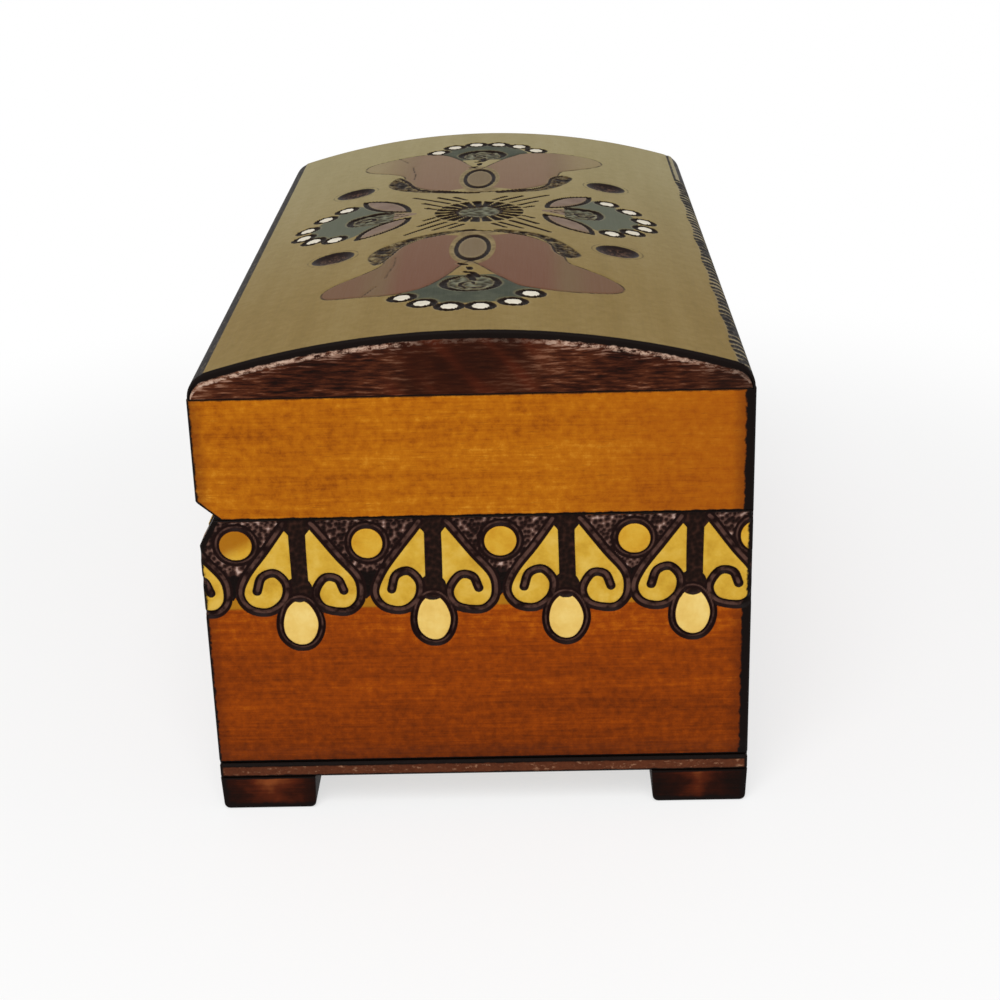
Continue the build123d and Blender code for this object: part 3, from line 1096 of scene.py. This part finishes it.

# %% [markdown]
# ## The domed board's finish
# The dome was stained a greyed khaki and its pattern painted thinly in dusty pink,
# grey-green and mauve, with white beads. The paints lie in the layers of the drawing.
# Toward the far end the khaki and the paints are painted paler and greyer: a painted
# reflection of the white room, which the far end, seen more slantwise, mirrors more.

# %% The lid's paints
def lid_paint(recipe, under, toward):
    """Lays the lid pattern's colours over the khaki."""
    across = abs(recipe.parts[1])
    pit, cut, edge, seed = (recipe.drawn(name) for name in ("pit", "cut", "edge", "seed"))
    shade = recipe.noise(0.25, 3, 0.6) * 1.6 - 0.3
    blots = recipe.noise(0.5, 4, 0.7).rise(0.3, 0.7)
    # Painted reflection: the rose is painted paler and greyer toward the far end.
    rose = recipe.mix(toward, rgb(136, 113, 90), rgb(107, 71, 52))
    folded = across.rise(12.5, 17) * (across.rise(22, 17) * 0.4 + 0.3) * (toward * 0.6 + 0.4)
    rose = recipe.mix(folded, rose, rgb(112, 94, 64))
    rose = recipe.mix(shade * 0.6, recipe.mix(0.15, rose, rgb(84, 56, 42)), rose)
    rose = recipe.mix(across.rise(14, 25) * toward.rise(0.6, 0.2) * 0.6, rose, under)
    teal = recipe.tones(shade, rgb(46, 51, 40), rgb(60, 64, 50), rgb(80, 82, 65))
    speckled = recipe.tones(
        pit * 0.6 + blots * 0.8 - 0.2,
        rgb(132, 118, 82), rgb(84, 68, 42), rgb(28, 18, 10), rgb(14, 7, 4),
    )
    stipple = recipe.tones(pit + blots * 0.4, rgb(146, 130, 92), rgb(128, 110, 76), rgb(92, 74, 48))
    halo = seed.rise(1.7, 0.9).most(edge.rise(0.1, -0.1) * across.rise(4, 2.5))
    colour = recipe.mix(halo * 0.7, under, stipple)
    colour = recipe.mix(seed.inside(), colour, rgb(112, 95, 70))
    colour = recipe.paint(colour, {"petal": rose}, 0.12)
    layers = {
        "teal": recipe.mix(across.rise(10, 22) * 0.8, teal, rgb(89, 92, 76)),
        "eye": recipe.tones(
            pit, rgb(126, 124, 104), rgb(108, 108, 88), rgb(66, 62, 48), rgb(22, 16, 10)
        ),
        "leaf": recipe.tones(shade, rgb(104, 84, 71), rgb(120, 100, 86), rgb(135, 115, 99)),
    }
    colour = recipe.paint(colour, layers)
    colour = recipe.paint(colour, {"sepal": speckled}, 0.2)
    colour = recipe.mix(cut.rise(0.6, 0.1) * 0.2, colour, rgb(160, 144, 104))
    white = recipe.tones(shade, rgb(204, 194, 172), rgb(222, 214, 196), rgb(234, 226, 212))
    colour = recipe.paint(colour, {"bead": white})
    broken = recipe.noise(0.5).rise(0.35, 0.6) * 0.6 + 0.3
    line = (abs(edge) - 0.2).inside(0.12).most((recipe.drawn("fold") - 0.2).inside(0.15))
    colour = recipe.mix(line * broken, colour, rgb(44, 26, 12))
    dark = recipe.tones(cut.rise(-0.5, 0), rgb(16, 8, 4), rgb(20, 11, 6), rgb(34, 20, 10))
    return recipe.paint(colour, {"cut": dark})


# %% [markdown]
# The board's end grain drank far more stain than its top and turned mahogany. Its heart
# is a smooth dark red, streaks run through the rest, and a pale broken line shows where
# the burned rim chipped. `below` is the height that the dome's skin has come down.

# %% The mahogany end grain
def end_grain(recipe, ragged, streaks):
    """The mahogany end of the board, its burned rim and the chips below it."""
    _, y, z = recipe.parts
    below = recipe.drawn("below")
    clouds = recipe.noise((0.07, 0.07, 0.09), 3)
    red = recipe.tones(
        streaks * 2.1 + clouds * 1.2 - 1.2,
        rgb(20, 7, 4), rgb(48, 19, 9), rgb(78, 38, 20), rgb(128, 86, 64),
    )
    slanted = {"W": y * 0.13 + z * 0.12, "Scale": 1.0, "Detail": 1.0}
    rings = recipe.node("ShaderNodeTexNoise", {"noise_dimensions": "1D"}, slanted)
    heart = recipe.tones(
        rings * 2.2 + clouds * 0.8 - 1.05, rgb(24, 8, 3), rgb(46, 15, 4), rgb(84, 30, 12)
    )
    core = y.rise(-16, -9) * y.rise(14, 8)
    red = recipe.mix(core * 0.75, red, heart)
    crumbs = recipe.noise((1.1, 0.8, 1.6), 4, 0.75)
    chipped = abs(below + ragged * 0.9 - 1.1).rise(0.5, 0.2) * crumbs.rise(0.4, 0.58)
    fringe = below.rise(3.2, 1.2) * below.rise(0.9, 1.2) * streaks.rise(0.54, 0.64) * 0.45
    corner = y.rise(32, 43)
    sides = abs(y - 1).rise(8, 15) * (1 - corner * 0.75)
    red = recipe.mix(corner * 0.5, red, rgb(34, 18, 12))
    red = recipe.mix((below + ragged * 0.4).rise(0.85, 0.6), red, soot)
    chips = recipe.tones(crumbs * 1.6 - 0.3, rgb(134, 96, 78), rgb(176, 142, 122), rgb(206, 182, 164))
    red = recipe.mix(chipped.most(fringe) * (sides * 0.85 + 0.12), red, chips)
    return recipe.mix((z - lid_wall_top + ragged * 0.3).rise(0.35, 0.1), red, soot)


# %% [markdown]
# Khaki, paints, dished gouges, burned edges and end grain now meet in one recipe. Which
# of them shows at a point follows from where it lies and from the stored drawing.

# %% The domed board's recipe
def dome_wood(name):
    """The domed board's whole finish."""
    recipe = Recipe(name)
    x, y, z = recipe.parts
    fibres, bands, pores = grain(recipe, 0)
    toward = x.rise(-90, 70)
    share = bands * 0.9 + fibres * 0.5 + recipe.noise(0.5, 4, 0.7) * 0.9 - 0.65
    # Painted reflection: the far khaki is the near one painted paler and greyer.
    near = recipe.tones(share, rgb(116, 94, 46), rgb(131, 109, 61), rgb(143, 123, 77))
    far = recipe.tones(share, rgb(142, 130, 88), rgb(153, 141, 101), rgb(163, 151, 114))
    khaki = recipe.mix(pores * 0.25, recipe.mix(toward, far, near), rgb(104, 86, 50))
    painted = lid_paint(recipe, khaki, toward)
    ragged = recipe.ragged(0.8, 0.4)
    dish = recipe.drawn("dish")
    specks = recipe.noise(1.2, 3, 0.7).rise(0.42, 0.7) * dish.rise(-0.4, -2)
    dished = recipe.mix(specks * 0.8, rgb(24, 12, 9), rgb(98, 72, 58))
    ring = (abs(dish - 0.75) - 0.15).inside(0.1) * ragged.rise(-0.15, 0.1) * 0.5
    painted = recipe.mix(dish.inside(0.12).most(ring), painted, dished)
    painted = recipe.mix(y.rise(43.4, 44.4) * 0.5, painted, rgb(150, 142, 122))

    from_end = half_length - abs(x)
    rim = (from_end - 0.55 + ragged * 0.3).rise(0.15, -0.1)
    border = (recipe.drawn("border") + ragged * 0.3).inside(0.12)
    scuffs = recipe.noise((0.5, 1.2, 1.2), 3, 0.7).rise(0.52, 0.7) * 0.4
    burned = recipe.mix(scuffs * (1 - rim), soot, rgb(120, 108, 92))
    colour = recipe.mix(rim.most(border), painted, burned)
    on_end = from_end.rise(0.3, 0.02)
    streaks = recipe.noise((0.5, 0.3, 2.4), 3, 0.6)
    colour = recipe.mix(on_end, colour, end_grain(recipe, ragged, streaks))

    depth, _ = wall_gaps(recipe)
    underside = (z - lid_wall_top).rise(0.03, 0.005) * depth.rise(0.1, 0.4)
    return recipe.finish(
        Base_Color=recipe.mix(underside, colour, raw_wood(recipe, fibres, bands)),
        Roughness=0.5 + fibres * 0.14 - dish.inside(0.15) * 0.1,
        Normal=recipe.bump(fibres - pores * 0.5 + on_end * streaks * 1.5, 0.05),
        Specular_IOR_Level=sheen,
    )


dome_finish = dome_wood("khaki_domed_board")

# %% [markdown]
# ## Bottom board and feet
# The bottom board's edge shows as a brown band between two burned lines, and the feet
# are stained so dark that only their middles show red. Both finishes are short recipes
# on the same grain.

# %% Dark stains
strip_level = 7.75


def bottom_wood(name):
    """Brown stain between two burned lines."""
    recipe = Recipe(name)
    fibres, bands, pores = grain(recipe, 0)
    brown = recipe.tones(
        fibres * 0.6 + bands * 0.5 - 0.05,
        rgb(50, 20, 10), rgb(76, 38, 22), rgb(96, 52, 32), rgb(124, 80, 54),
    )
    flecks = recipe.noise((0.7, 0.7, 1.6), 3, 0.7).rise(0.56, 0.7)
    brown = recipe.mix(flecks * 0.7, brown, rgb(158, 116, 88))
    ragged = recipe.ragged(0.6, 0.2)
    from_middle = abs(recipe.parts[2] - strip_level) + ragged
    colour = recipe.mix(from_middle.rise(0.65, 0.95), brown, soot)
    depth, back = wall_gaps(recipe)
    colour = recipe.mix((back + ragged - 0.5).rise(0.3, -0.1), colour, soot)
    return recipe.finish(
        Base_Color=recipe.mix(depth.rise(5, 6), colour, raw_wood(recipe, fibres, bands)),
        Roughness=0.5 + fibres * 0.2,
        Normal=recipe.bump(fibres - pores * 0.5, 0.05),
        Specular_IOR_Level=sheen,
    )


def foot_wood(name):
    """Mahogany stain that is burned toward a foot's edges."""
    recipe = Recipe(name)
    _, y, z = recipe.parts
    fibres, _, _ = grain(recipe, 1)
    clouds = recipe.noise((0.14, 0.14, 0.2), 3, 0.6)
    from_middle = abs(abs(y) - foot_middle) * 0.09 - z * 0.05
    stain = recipe.tones(
        clouds * 1.2 + fibres * 0.4 - from_middle - y.rise(-20, 20) * 0.2 - 0.14,
        rgb(18, 6, 3), rgb(40, 12, 4), rgb(78, 29, 10), rgb(124, 62, 28),
    )
    ragged = recipe.ragged(0.5, 0.6)
    _, back = wall_gaps(recipe)
    edge = (back + ragged - 0.8).rise(0.8, -0.2).most((z + ragged - 0.9).rise(0.7, -0.2))
    top = (foot_height - z + ragged * 0.3 - 0.3).rise(0.15, -0.1)
    return recipe.finish(
        Base_Color=recipe.mix(edge.most(top), stain, soot),
        Roughness=0.42 + fibres * 0.2,
        Normal=recipe.bump(fibres + clouds * 0.5, 0.08),
        Specular_IOR_Level=sheen,
    )


bottom_stain = bottom_wood("brown_bottom_stain")
foot_stain = foot_wood("mahogany_foot_stain")

# %% [markdown]
# ## Brass
# The hinges are small pressed brass, dulled by handling. Brass is a metal, so its colour
# is the colour of its reflections. Tarnish darkens and roughens it in patches.

# %% Dull brass
def brass(name):
    """Brass with tarnish and fine scratches."""
    recipe = Recipe(name)
    tarnish = recipe.noise(0.35, 4, 0.6).rise(0.4, 0.7)
    scratches = recipe.noise((0.4, 5, 5), 3, 0.6)
    bright = recipe.tones(scratches, rgb(172, 134, 66), rgb(198, 160, 88), rgb(214, 180, 112))
    return recipe.finish(
        Base_Color=recipe.mix(tarnish * 0.7, bright, rgb(112, 82, 42)),
        Metallic=1.0 - tarnish * 0.25,
        Roughness=0.3 + tarnish * 0.28 + scratches * 0.1,
        Normal=recipe.bump(scratches, 0.01, 0.4),
    )


dull_brass = brass("dull_brass")

# %% [markdown]
# ## The carved base boards
# An end board has columns 0.25 mm apart all the way across, and rows as close over the
# carved band, so every groove is several vertices wide. Its lip wraps round the corner,
# and the front frieze carries on across it, so the rings over the lip are as close too.

# %% The shape of an end board
rim_round = 0.25
edge_band, edge_step, round_step, rim_step = 0.12, 0.06, 0.16, 0.07
carve_foot, fine = 31.5, 0.25
score_height, score_depth = 0.65, 0.5
score_top = wall_foot + score_height
print("the carved band is", round(parting - carve_foot, 2), "mm high")


def end_columns(step):
    """Places across an end board, close together over its rounded corners."""
    flat, tight = half_width - corner_round, half_width - edge_band
    return marks(
        -half_width, (-tight, edge_step), (-flat, round_step), (flat, step),
        (tight, round_step), (half_width, edge_step),
    )


def base_rows(*carved):
    """Places up a base board: the score at its foot, the plain field, the carved band."""
    return marks(wall_foot, (score_top, 0.3), (score_top + 0.1, 0.1), (carve_foot, 4), *carved)


def end_front(low, high):
    """The rounding of an end board's corners and rims."""

    def front(across, up):
        side = fall(half_width - abs(across), corner_round)
        rim = fall(min(up - low, high - up), rim_round)
        return max(side, rim)

    return front


def back_rings(reach):
    """The last rings of a board: straight back, then over its inner rim."""
    return [(wall_thickness - rim_round, reach, 0), (wall_thickness, reach, rim_round)]


def end_rings(step):
    """Rings over the lip, in to the lap, and on to the inner face."""
    lip = [(depth, half_width, 0) for depth in marks(corner_round + rim_round, (corner_lip, step))]
    return lip + [(corner_lip, inner_half_width, 0)] + back_rings(inner_half_width)


def score(up):
    """The scored line's depth at each height."""
    return score_depth * np.clip((score_top + 0.05 - up) / 0.05, 0, 1)


# %% [markdown]
# Each board has its own run of units, set out after the photograph for the right end and
# listed for the others. The line scored above the bottom board is cut together with the
# frieze. Vertices that no carving reaches are told that every shape is far away.

# %% Base end boards
right_run = {
    "stems": [-53.2, -30.3, -7.25, 15.5, 37.2, 59.6],
    "gaps": [-63.5, -40.8, -18.4, 4.2, 26.9, 47.6],
    "lifts": [0, -0.2, 0.3, 0.1, 0.6, 0],
}
left_run = {"stems": [-56.2, -33.8, -11, 11.6, 34.1, 56.6], "lifts": [0, 0.3, 0, 0.4, -0.1, 0]}
front_run = {"stems": [-90.4, -67.9, -45.2, -22.4, 0.2, 22.6, 45.3, 67.7, 90.4]}
nearly = 0.01


def blank(count):
    """Distances for a mesh with no carving on it."""
    return {name: np.full(count, 0.0 if name == "pit" else AWAY) for name in frieze_names}


def draw_frieze(drawn, zone, run, up, units):
    """Draws a run of the frieze on the vertices that are in the zone."""
    for name, values in frieze(run[zone], up[zone], **units).items():
        drawn[name][zone] = values


def carve_base_end(name, wall, units):
    """One end board of the base, with the frieze on its face and its front lip."""
    rows = base_rows((parting - rim_round, fine), (parting, rim_step))
    bm = plank(end_columns(fine), rows, end_front(wall_foot, parting), end_rings(fine))
    front_side = -walls[wall][3]
    cut_notch(bm, front_side, notch_depth, notch_height, 1)
    mesh = to_mesh(bm, name)
    places = get_places(mesh)
    across, up, out = places.T
    face = out > -corner_round - nearly
    lip = ~face & (np.abs(across) > half_width - nearly) & (out > -corner_lip - nearly)
    front_lip = lip & (across * front_side > 0)
    along_front = walls[wall][1] * (half_length + out)
    drawn = blank(len(places))
    draw_frieze(drawn, face, across, up, units)
    draw_frieze(drawn, front_lip, along_front, up, front_run)
    depth = frieze_depth(drawn)
    scored = score(up) * (face | lip)
    places[:, 2] -= np.where(face, np.maximum(depth, scored), 0)
    places[:, 0] -= np.sign(across) * np.where(lip, np.maximum(depth * front_lip, scored), 0)
    set_places(mesh, stand_up(places, wall))
    give(mesh, drawn)
    add_piece(f"carved_{wall}_end", mesh, "base", name, base_end_wood)


carve_base_end("base_right_end", "right", right_run)
carve_base_end("base_left_end", "left", left_run)

# %% [markdown]
# The front board fits between the end boards' lips. Its top edge is planed to a slope,
# the lower half of the finger notch, so its face leans back over the last few
# millimetres and the frieze leans with it. The photograph shows this board only edge on,
# so a vertex every 0.3 mm is close enough.

# %% Base front board
front_reach = half_length - corner_lip
front_step = 0.3


def carve_base_front():
    """The front board of the base, with the frieze on its face."""
    slope = parting - notch_height

    def front(across, up):
        lean = max(up - slope, 0) / notch_height * notch_depth
        return lean + fall(front_reach - abs(across), edge_band)

    tight = front_reach - edge_band
    columns = marks(-front_reach, (-tight, edge_step), (tight, front_step), (front_reach, edge_step))
    rows = base_rows((slope, front_step), (parting, front_step))
    mesh = to_mesh(plank(columns, rows, front, back_rings(front_reach)), "base_front_board")
    places = get_places(mesh)
    across, up, out = places.T
    face = out > -notch_depth - edge_band - nearly
    drawn = blank(len(places))
    draw_frieze(drawn, face, across, up, front_run)
    places[:, 2] -= np.where(face, np.maximum(frieze_depth(drawn), score(up)), 0)
    set_places(mesh, stand_up(places, "front"))
    give(mesh, drawn)
    add_piece("carved_front_board", mesh, "base", "base_front_board", base_long_wood)


carve_base_front()

# %% [markdown]
# ## Plain lid boards
# The lid's frame has no carving, so its grids are coarse. What matters is the soft
# rounding of the edges, which catches the light, and the upper half of the finger notch.

# %% Lid boards
def plain_lid_end(name, wall):
    """One end board of the lid."""
    rows = marks(
        parting, (parting + rim_round, rim_step),
        (lid_wall_top - rim_round, 3), (lid_wall_top, rim_step),
    )
    bm = plank(end_columns(4), rows, end_front(parting, lid_wall_top), end_rings(corner_lip))
    cut_notch(bm, -walls[wall][3], lid_notch_depth, lid_notch_height, -1)
    mesh = to_mesh(bm, name)
    set_places(mesh, stand_up(get_places(mesh), wall))
    add_piece(f"lid_board_{wall}", mesh, "lid", name, lid_end_wood)


def plain_lid_front():
    """The front board of the lid, planed back at its foot."""
    slope = parting + lid_notch_height

    def front(across, up):
        lean = max(slope - up, 0) / lid_notch_height * lid_notch_depth
        return lean + fall(lid_wall_top - up, rim_round)

    columns = marks(-front_reach, (front_reach, 5))
    rows = marks(parting, (slope, 1.2), (lid_wall_top - rim_round, 3), (lid_wall_top, rim_step))
    mesh = to_mesh(plank(columns, rows, front, back_rings(front_reach)), "lid_front_board")
    set_places(mesh, stand_up(get_places(mesh), "front"))
    add_piece("lid_board_front", mesh, "lid", "lid_front_board", lid_long_wood)


plain_lid_end("lid_right_end", "right")
plain_lid_end("lid_left_end", "left")
plain_lid_front()

# %% [markdown]
# ## The domed board
# The dome is the same kind of skin: a grid laid over the arch, with the pattern pressed
# in along the surface's own direction. Only its two end edges are extruded, in rows that
# slide down the end grain and flatten as they go.

# %% The arch of the lid
slab_edge_height = 3.6
shoulder_round = 4.6
edge_level = lid_wall_top + slab_edge_height
slab_rise = crown_level - edge_level
arch_radius = (half_width**2 + slab_rise**2) / (2 * slab_rise)
arch_centre = crown_level - arch_radius
bend_y = half_width - shoulder_round
bend_z = arch_centre + math.sqrt((arch_radius - shoulder_round) ** 2 - bend_y**2)
half_angle = math.asin(bend_y / (arch_radius - shoulder_round))
arch_run = arch_radius * half_angle
bend_end = arch_run + shoulder_round * (math.pi / 2 - half_angle)
side_end = bend_end + bend_z - lid_wall_top
print("arch radius", round(arch_radius, 1), "and its run", round(arch_run, 1))


def arch(run):
    """Places and outward directions (y, z) at distances run across the arch."""
    reach, side = np.abs(run), np.sign(run)
    on_arch = reach < arch_run
    turn = np.where(on_arch, reach / arch_radius, half_angle + (reach - arch_run) / shoulder_round)
    turn = np.minimum(turn, math.pi / 2)
    radius = np.where(on_arch, arch_radius, shoulder_round)
    y = np.where(on_arch, 0, bend_y) + radius * np.sin(turn)
    z = np.where(on_arch, arch_centre, bend_z) + radius * np.cos(turn)
    past = np.maximum(reach - bend_end, 0)
    return side * y, z - past, side * np.sin(turn), np.cos(turn)


# %% [markdown]
# The carved part of the dome gets a vertex about every 0.4 mm, and near the ends the
# columns close up over the rounded edge. The rows down the end grain are drawn out of the
# flat grid first: their third coordinate only says how far down, from 0 to -1, they will
# slide. Rolled over the arch, the dome is closed underneath by one face.

# %% The domed board
carved_length, carved_run = 71.6, 37.0
slides = (0.05, 0.1, 0.16, 0.23, 0.32, 0.45, 0.6, 0.8, 1)


def dome_grid():
    """The flat grid of the dome, as a mesh of places (along, across, slide)."""
    flat, tight = half_length - corner_round, half_length - edge_band
    columns = marks(
        -half_length, (-tight, edge_step), (-flat, round_step), (-carved_length, 0.52),
        (carved_length, 0.42), (flat, 0.52), (tight, round_step), (half_length, edge_step),
    )
    rows = marks(
        -side_end, (-bend_end, 0.3), (-arch_run, 0.6), (-carved_run, 0.6), (carved_run, 0.4),
        (arch_run, 0.6), (bend_end, 0.6), (side_end, 0.3),
    )
    bm = grid(columns, rows)
    for slide in slides:
        ends = [
            edge for edge in open_edges(bm)
            if all(abs(vert.co.x) > half_length - 0.001 for vert in edge.verts)
        ]
        draw_back(bm, ends, lambda x, run, _: (x, run, -slide))
    mesh = bpy.data.meshes.new("lid_top_slab")
    bm.to_mesh(mesh)
    bm.free()
    return mesh


# %% [markdown]
# The arch turns each distance across the lid into a place and an outward direction, and the
# carving is pressed in against that direction. The ends are eased over the same quarter
# round as the boards below them.

# %% Rolling the dome up
def roll_up(mesh):
    """Rolls the grid over the arch, with the pattern pressed in and stored."""
    places = get_places(mesh)
    x, run, slide = places.T
    drawn = lid_pattern(run, x)
    left = corner_round - np.minimum(half_length - np.abs(x), corner_round)
    rounding = corner_round - np.sqrt(corner_round**2 - left**2)
    y, z, out_y, out_z = arch(run)
    inward = rounding + np.where(slide < 0, 0, lid_depth(drawn))
    y, z = y - out_y * inward, z - out_z * inward
    z = np.maximum(z, lid_wall_top)
    level = z + slide * (z - lid_wall_top)
    drawn["below"] = z - level
    set_places(mesh, np.stack([x, y, level], 1))
    give(mesh, drawn)


def dome():
    """The carved domed board."""
    mesh = dome_grid()
    roll_up(mesh)
    bm = bmesh.new()
    bm.from_mesh(mesh)
    bpy.data.meshes.remove(mesh)
    bmesh.ops.remove_doubles(bm, verts=bm.verts[:], dist=0.0005)
    close(bm)
    mesh = to_mesh(bm, "lid_top_slab")
    add_piece("carved_domed_board", mesh, "lid", "lid_top_slab", dome_finish)


dome()

# %% [markdown]
# ## Feet
# Each foot is a small block that narrows a little toward the table. Its lower edges along
# the box were rubbed broadly round. The upright edges, and the lower ones across the box,
# are only eased. Both roundings are bevels of one cube.

# %% Four block feet
foot_taper, side_round, toe_round = 0.25, 1.0, 0.35


def soften(bm, chosen, radius):
    """Rounds the edges below the foot's top whose run passes the test."""
    edges = [
        edge for edge in bm.edges
        if chosen(edge.verts[1].co - edge.verts[0].co)
        and min(vert.co.z for vert in edge.verts) < foot_height / 2
        and edge.calc_face_angle(0) > sharp_angle
    ]
    bmesh.ops.bevel(
        bm, geom=edges, offset=radius, offset_type="OFFSET", segments=4, affect="EDGES",
        profile=0.5, material=-1, clamp_overlap=True,
    )


def foot(name, end, side):
    """One block foot; end and side are +1 or -1."""
    bm = bmesh.new()
    bmesh.ops.create_cube(bm, size=1)
    for vert in bm.verts:
        at_top = vert.co.z > 0
        reach = foot_side / 2 - (0 if at_top else foot_taper)
        x, y = (math.copysign(reach, part) for part in vert.co.xy)
        vert.co = (x, y, foot_height if at_top else 0)
    soften(bm, lambda run: abs(run.x) > 1 and abs(run.y) < 1, side_round)
    soften(bm, lambda run: abs(run.x) < 1, toe_round)
    middle = (end * (half_length - foot_side / 2), side * foot_middle, 0)
    bmesh.ops.translate(bm, verts=bm.verts[:], vec=middle)
    add_piece(f"block_{name}", to_mesh(bm, name), "base", name, foot_stain)


for end_name, end in (("left", -1), ("right", 1)):
    for side_name, side in (("front", -1), ("back", 1)):
        foot(f"foot_{side_name}_{end_name}", end, side)


# %% [markdown]
# ## Pieces that keep their CAD shape
# The back boards with their hinge mortises, the bottom board and the brass are already
# right, so they only take a material. The back board's orange wood leaves the frieze out.

# %% Dress the CAD nodes
def dress(node, material):
    """Gives a CAD node its finish."""
    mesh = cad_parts[node].data
    mesh.materials.clear()
    mesh.materials.append(material)
    print(node, "wears", material.name)


dress("base_back_board", base_plain_wood)
dress("lid_back_board", lid_long_wood)
dress("bottom_board", bottom_stain)
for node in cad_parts:
    if "hinge" in node:
        dress(node, dull_brass)


# %% [markdown]
# ## Floor, light and camera
# The photograph is a cut-out on white. The floor near the box is a pale matt surface
# that keeps the box's shadow, and further out it fades to pure white. It and the room are
# white wherever they are seen, straight on or in a reflection, but light the box less.
# One large soft lamp stands above the near end.

# %% White surroundings
white, pale = (1, 1, 1, 1), (0.92, 0.92, 0.92, 1)
fade_start, fade_end = 110, 260
room_light = 0.4


def seen(recipe):
    """1 for a ray that shows in the picture, 0 for one that only gathers light."""
    path = recipe.node("ShaderNodeLightPath")
    return path["Is Camera Ray"].most(path["Is Glossy Ray"], path["Is Transmission Ray"])


def white_floor():
    """A matt floor near the box that glows white further out."""
    recipe = Recipe("white_floor")
    x, y, _ = recipe.parts
    square = x * x + y * y
    fade = square.math("SQRT", square).rise(fade_start, fade_end)
    share = (fade * 0.35 + 0.65) * seen(recipe)
    matt = recipe.node("ShaderNodeBsdfDiffuse", inputs={"Color": pale})
    glow = recipe.node("ShaderNodeEmission", inputs={"Color": white, "Strength": 1.0})
    surface = recipe.node("ShaderNodeMixShader", inputs={0: share, 1: matt, 2: glow})
    recipe.node("ShaderNodeOutputMaterial", inputs={"Surface": surface})
    return recipe.made


bm = bmesh.new()
bmesh.ops.create_grid(bm, x_segments=1, y_segments=1, size=4)
bmesh.ops.translate(bm, verts=bm.verts[:], vec=(0, 0, -0.0001))
floor_mesh = bpy.data.meshes.new("floor")
bm.to_mesh(floor_mesh)
bm.free()
floor_mesh.materials.append(white_floor())
floor = add_object("floor", floor_mesh)
floor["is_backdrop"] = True

# %% [markdown]
# The room round the box is a world of plain white light. Its rays that show in the picture
# stay white, and those that only light the box are dimmed, so the lamp can model it.

# %% The room
room = Recipe("white_room", bpy.data.worlds)
strength = seen(room) * (1 - room_light) + room_light
surround = room.node("ShaderNodeBackground", inputs={"Color": white, "Strength": strength})
room.node("ShaderNodeOutputWorld", inputs={"Surface": surround})
bpy.context.scene.world = room.made
print("the room lights the box at", room_light, "of its own brightness")

# %% Lamp and camera
lamp_data = bpy.data.lights.new("soft_box", "AREA")
lamp_data.shape = "DISK"
lamp_data.size = 0.9
lamp_data.energy = 11.6
lamp = add_object("soft_box", lamp_data)
lamp.location = (0.8, -0.1, 1.0)
lamp.rotation_euler = lamp.location.to_track_quat("Z", "Y").to_euler()

camera_turn = (68.04, 1.51, 90.62)
camera_data = bpy.data.cameras.new("camera")
camera_data.sensor_width = 36
camera_data.lens = 68.2
camera_data.clip_start = 0.01
camera = add_object("camera", camera_data)
camera.location = (0.3775, 0.0107, 0.1779)
camera.rotation_euler = [math.radians(angle) for angle in camera_turn]
bpy.context.scene.camera = camera
bpy.context.scene.view_settings.view_transform = "Standard"
print("the camera stands", round(camera.location.length, 3), "m from the frame's origin")

# %% [markdown]
# ## Both boxes
# The dressed model must stay inside the CAD model's box, so both boxes are set side by
# side before the frame is finished.

# %% Finish
boxes = [[[float(part) for part in corner] for corner in box] for box in (cad_bounds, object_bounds())]
{"cad": boxes[0], "visual": boxes[1]}
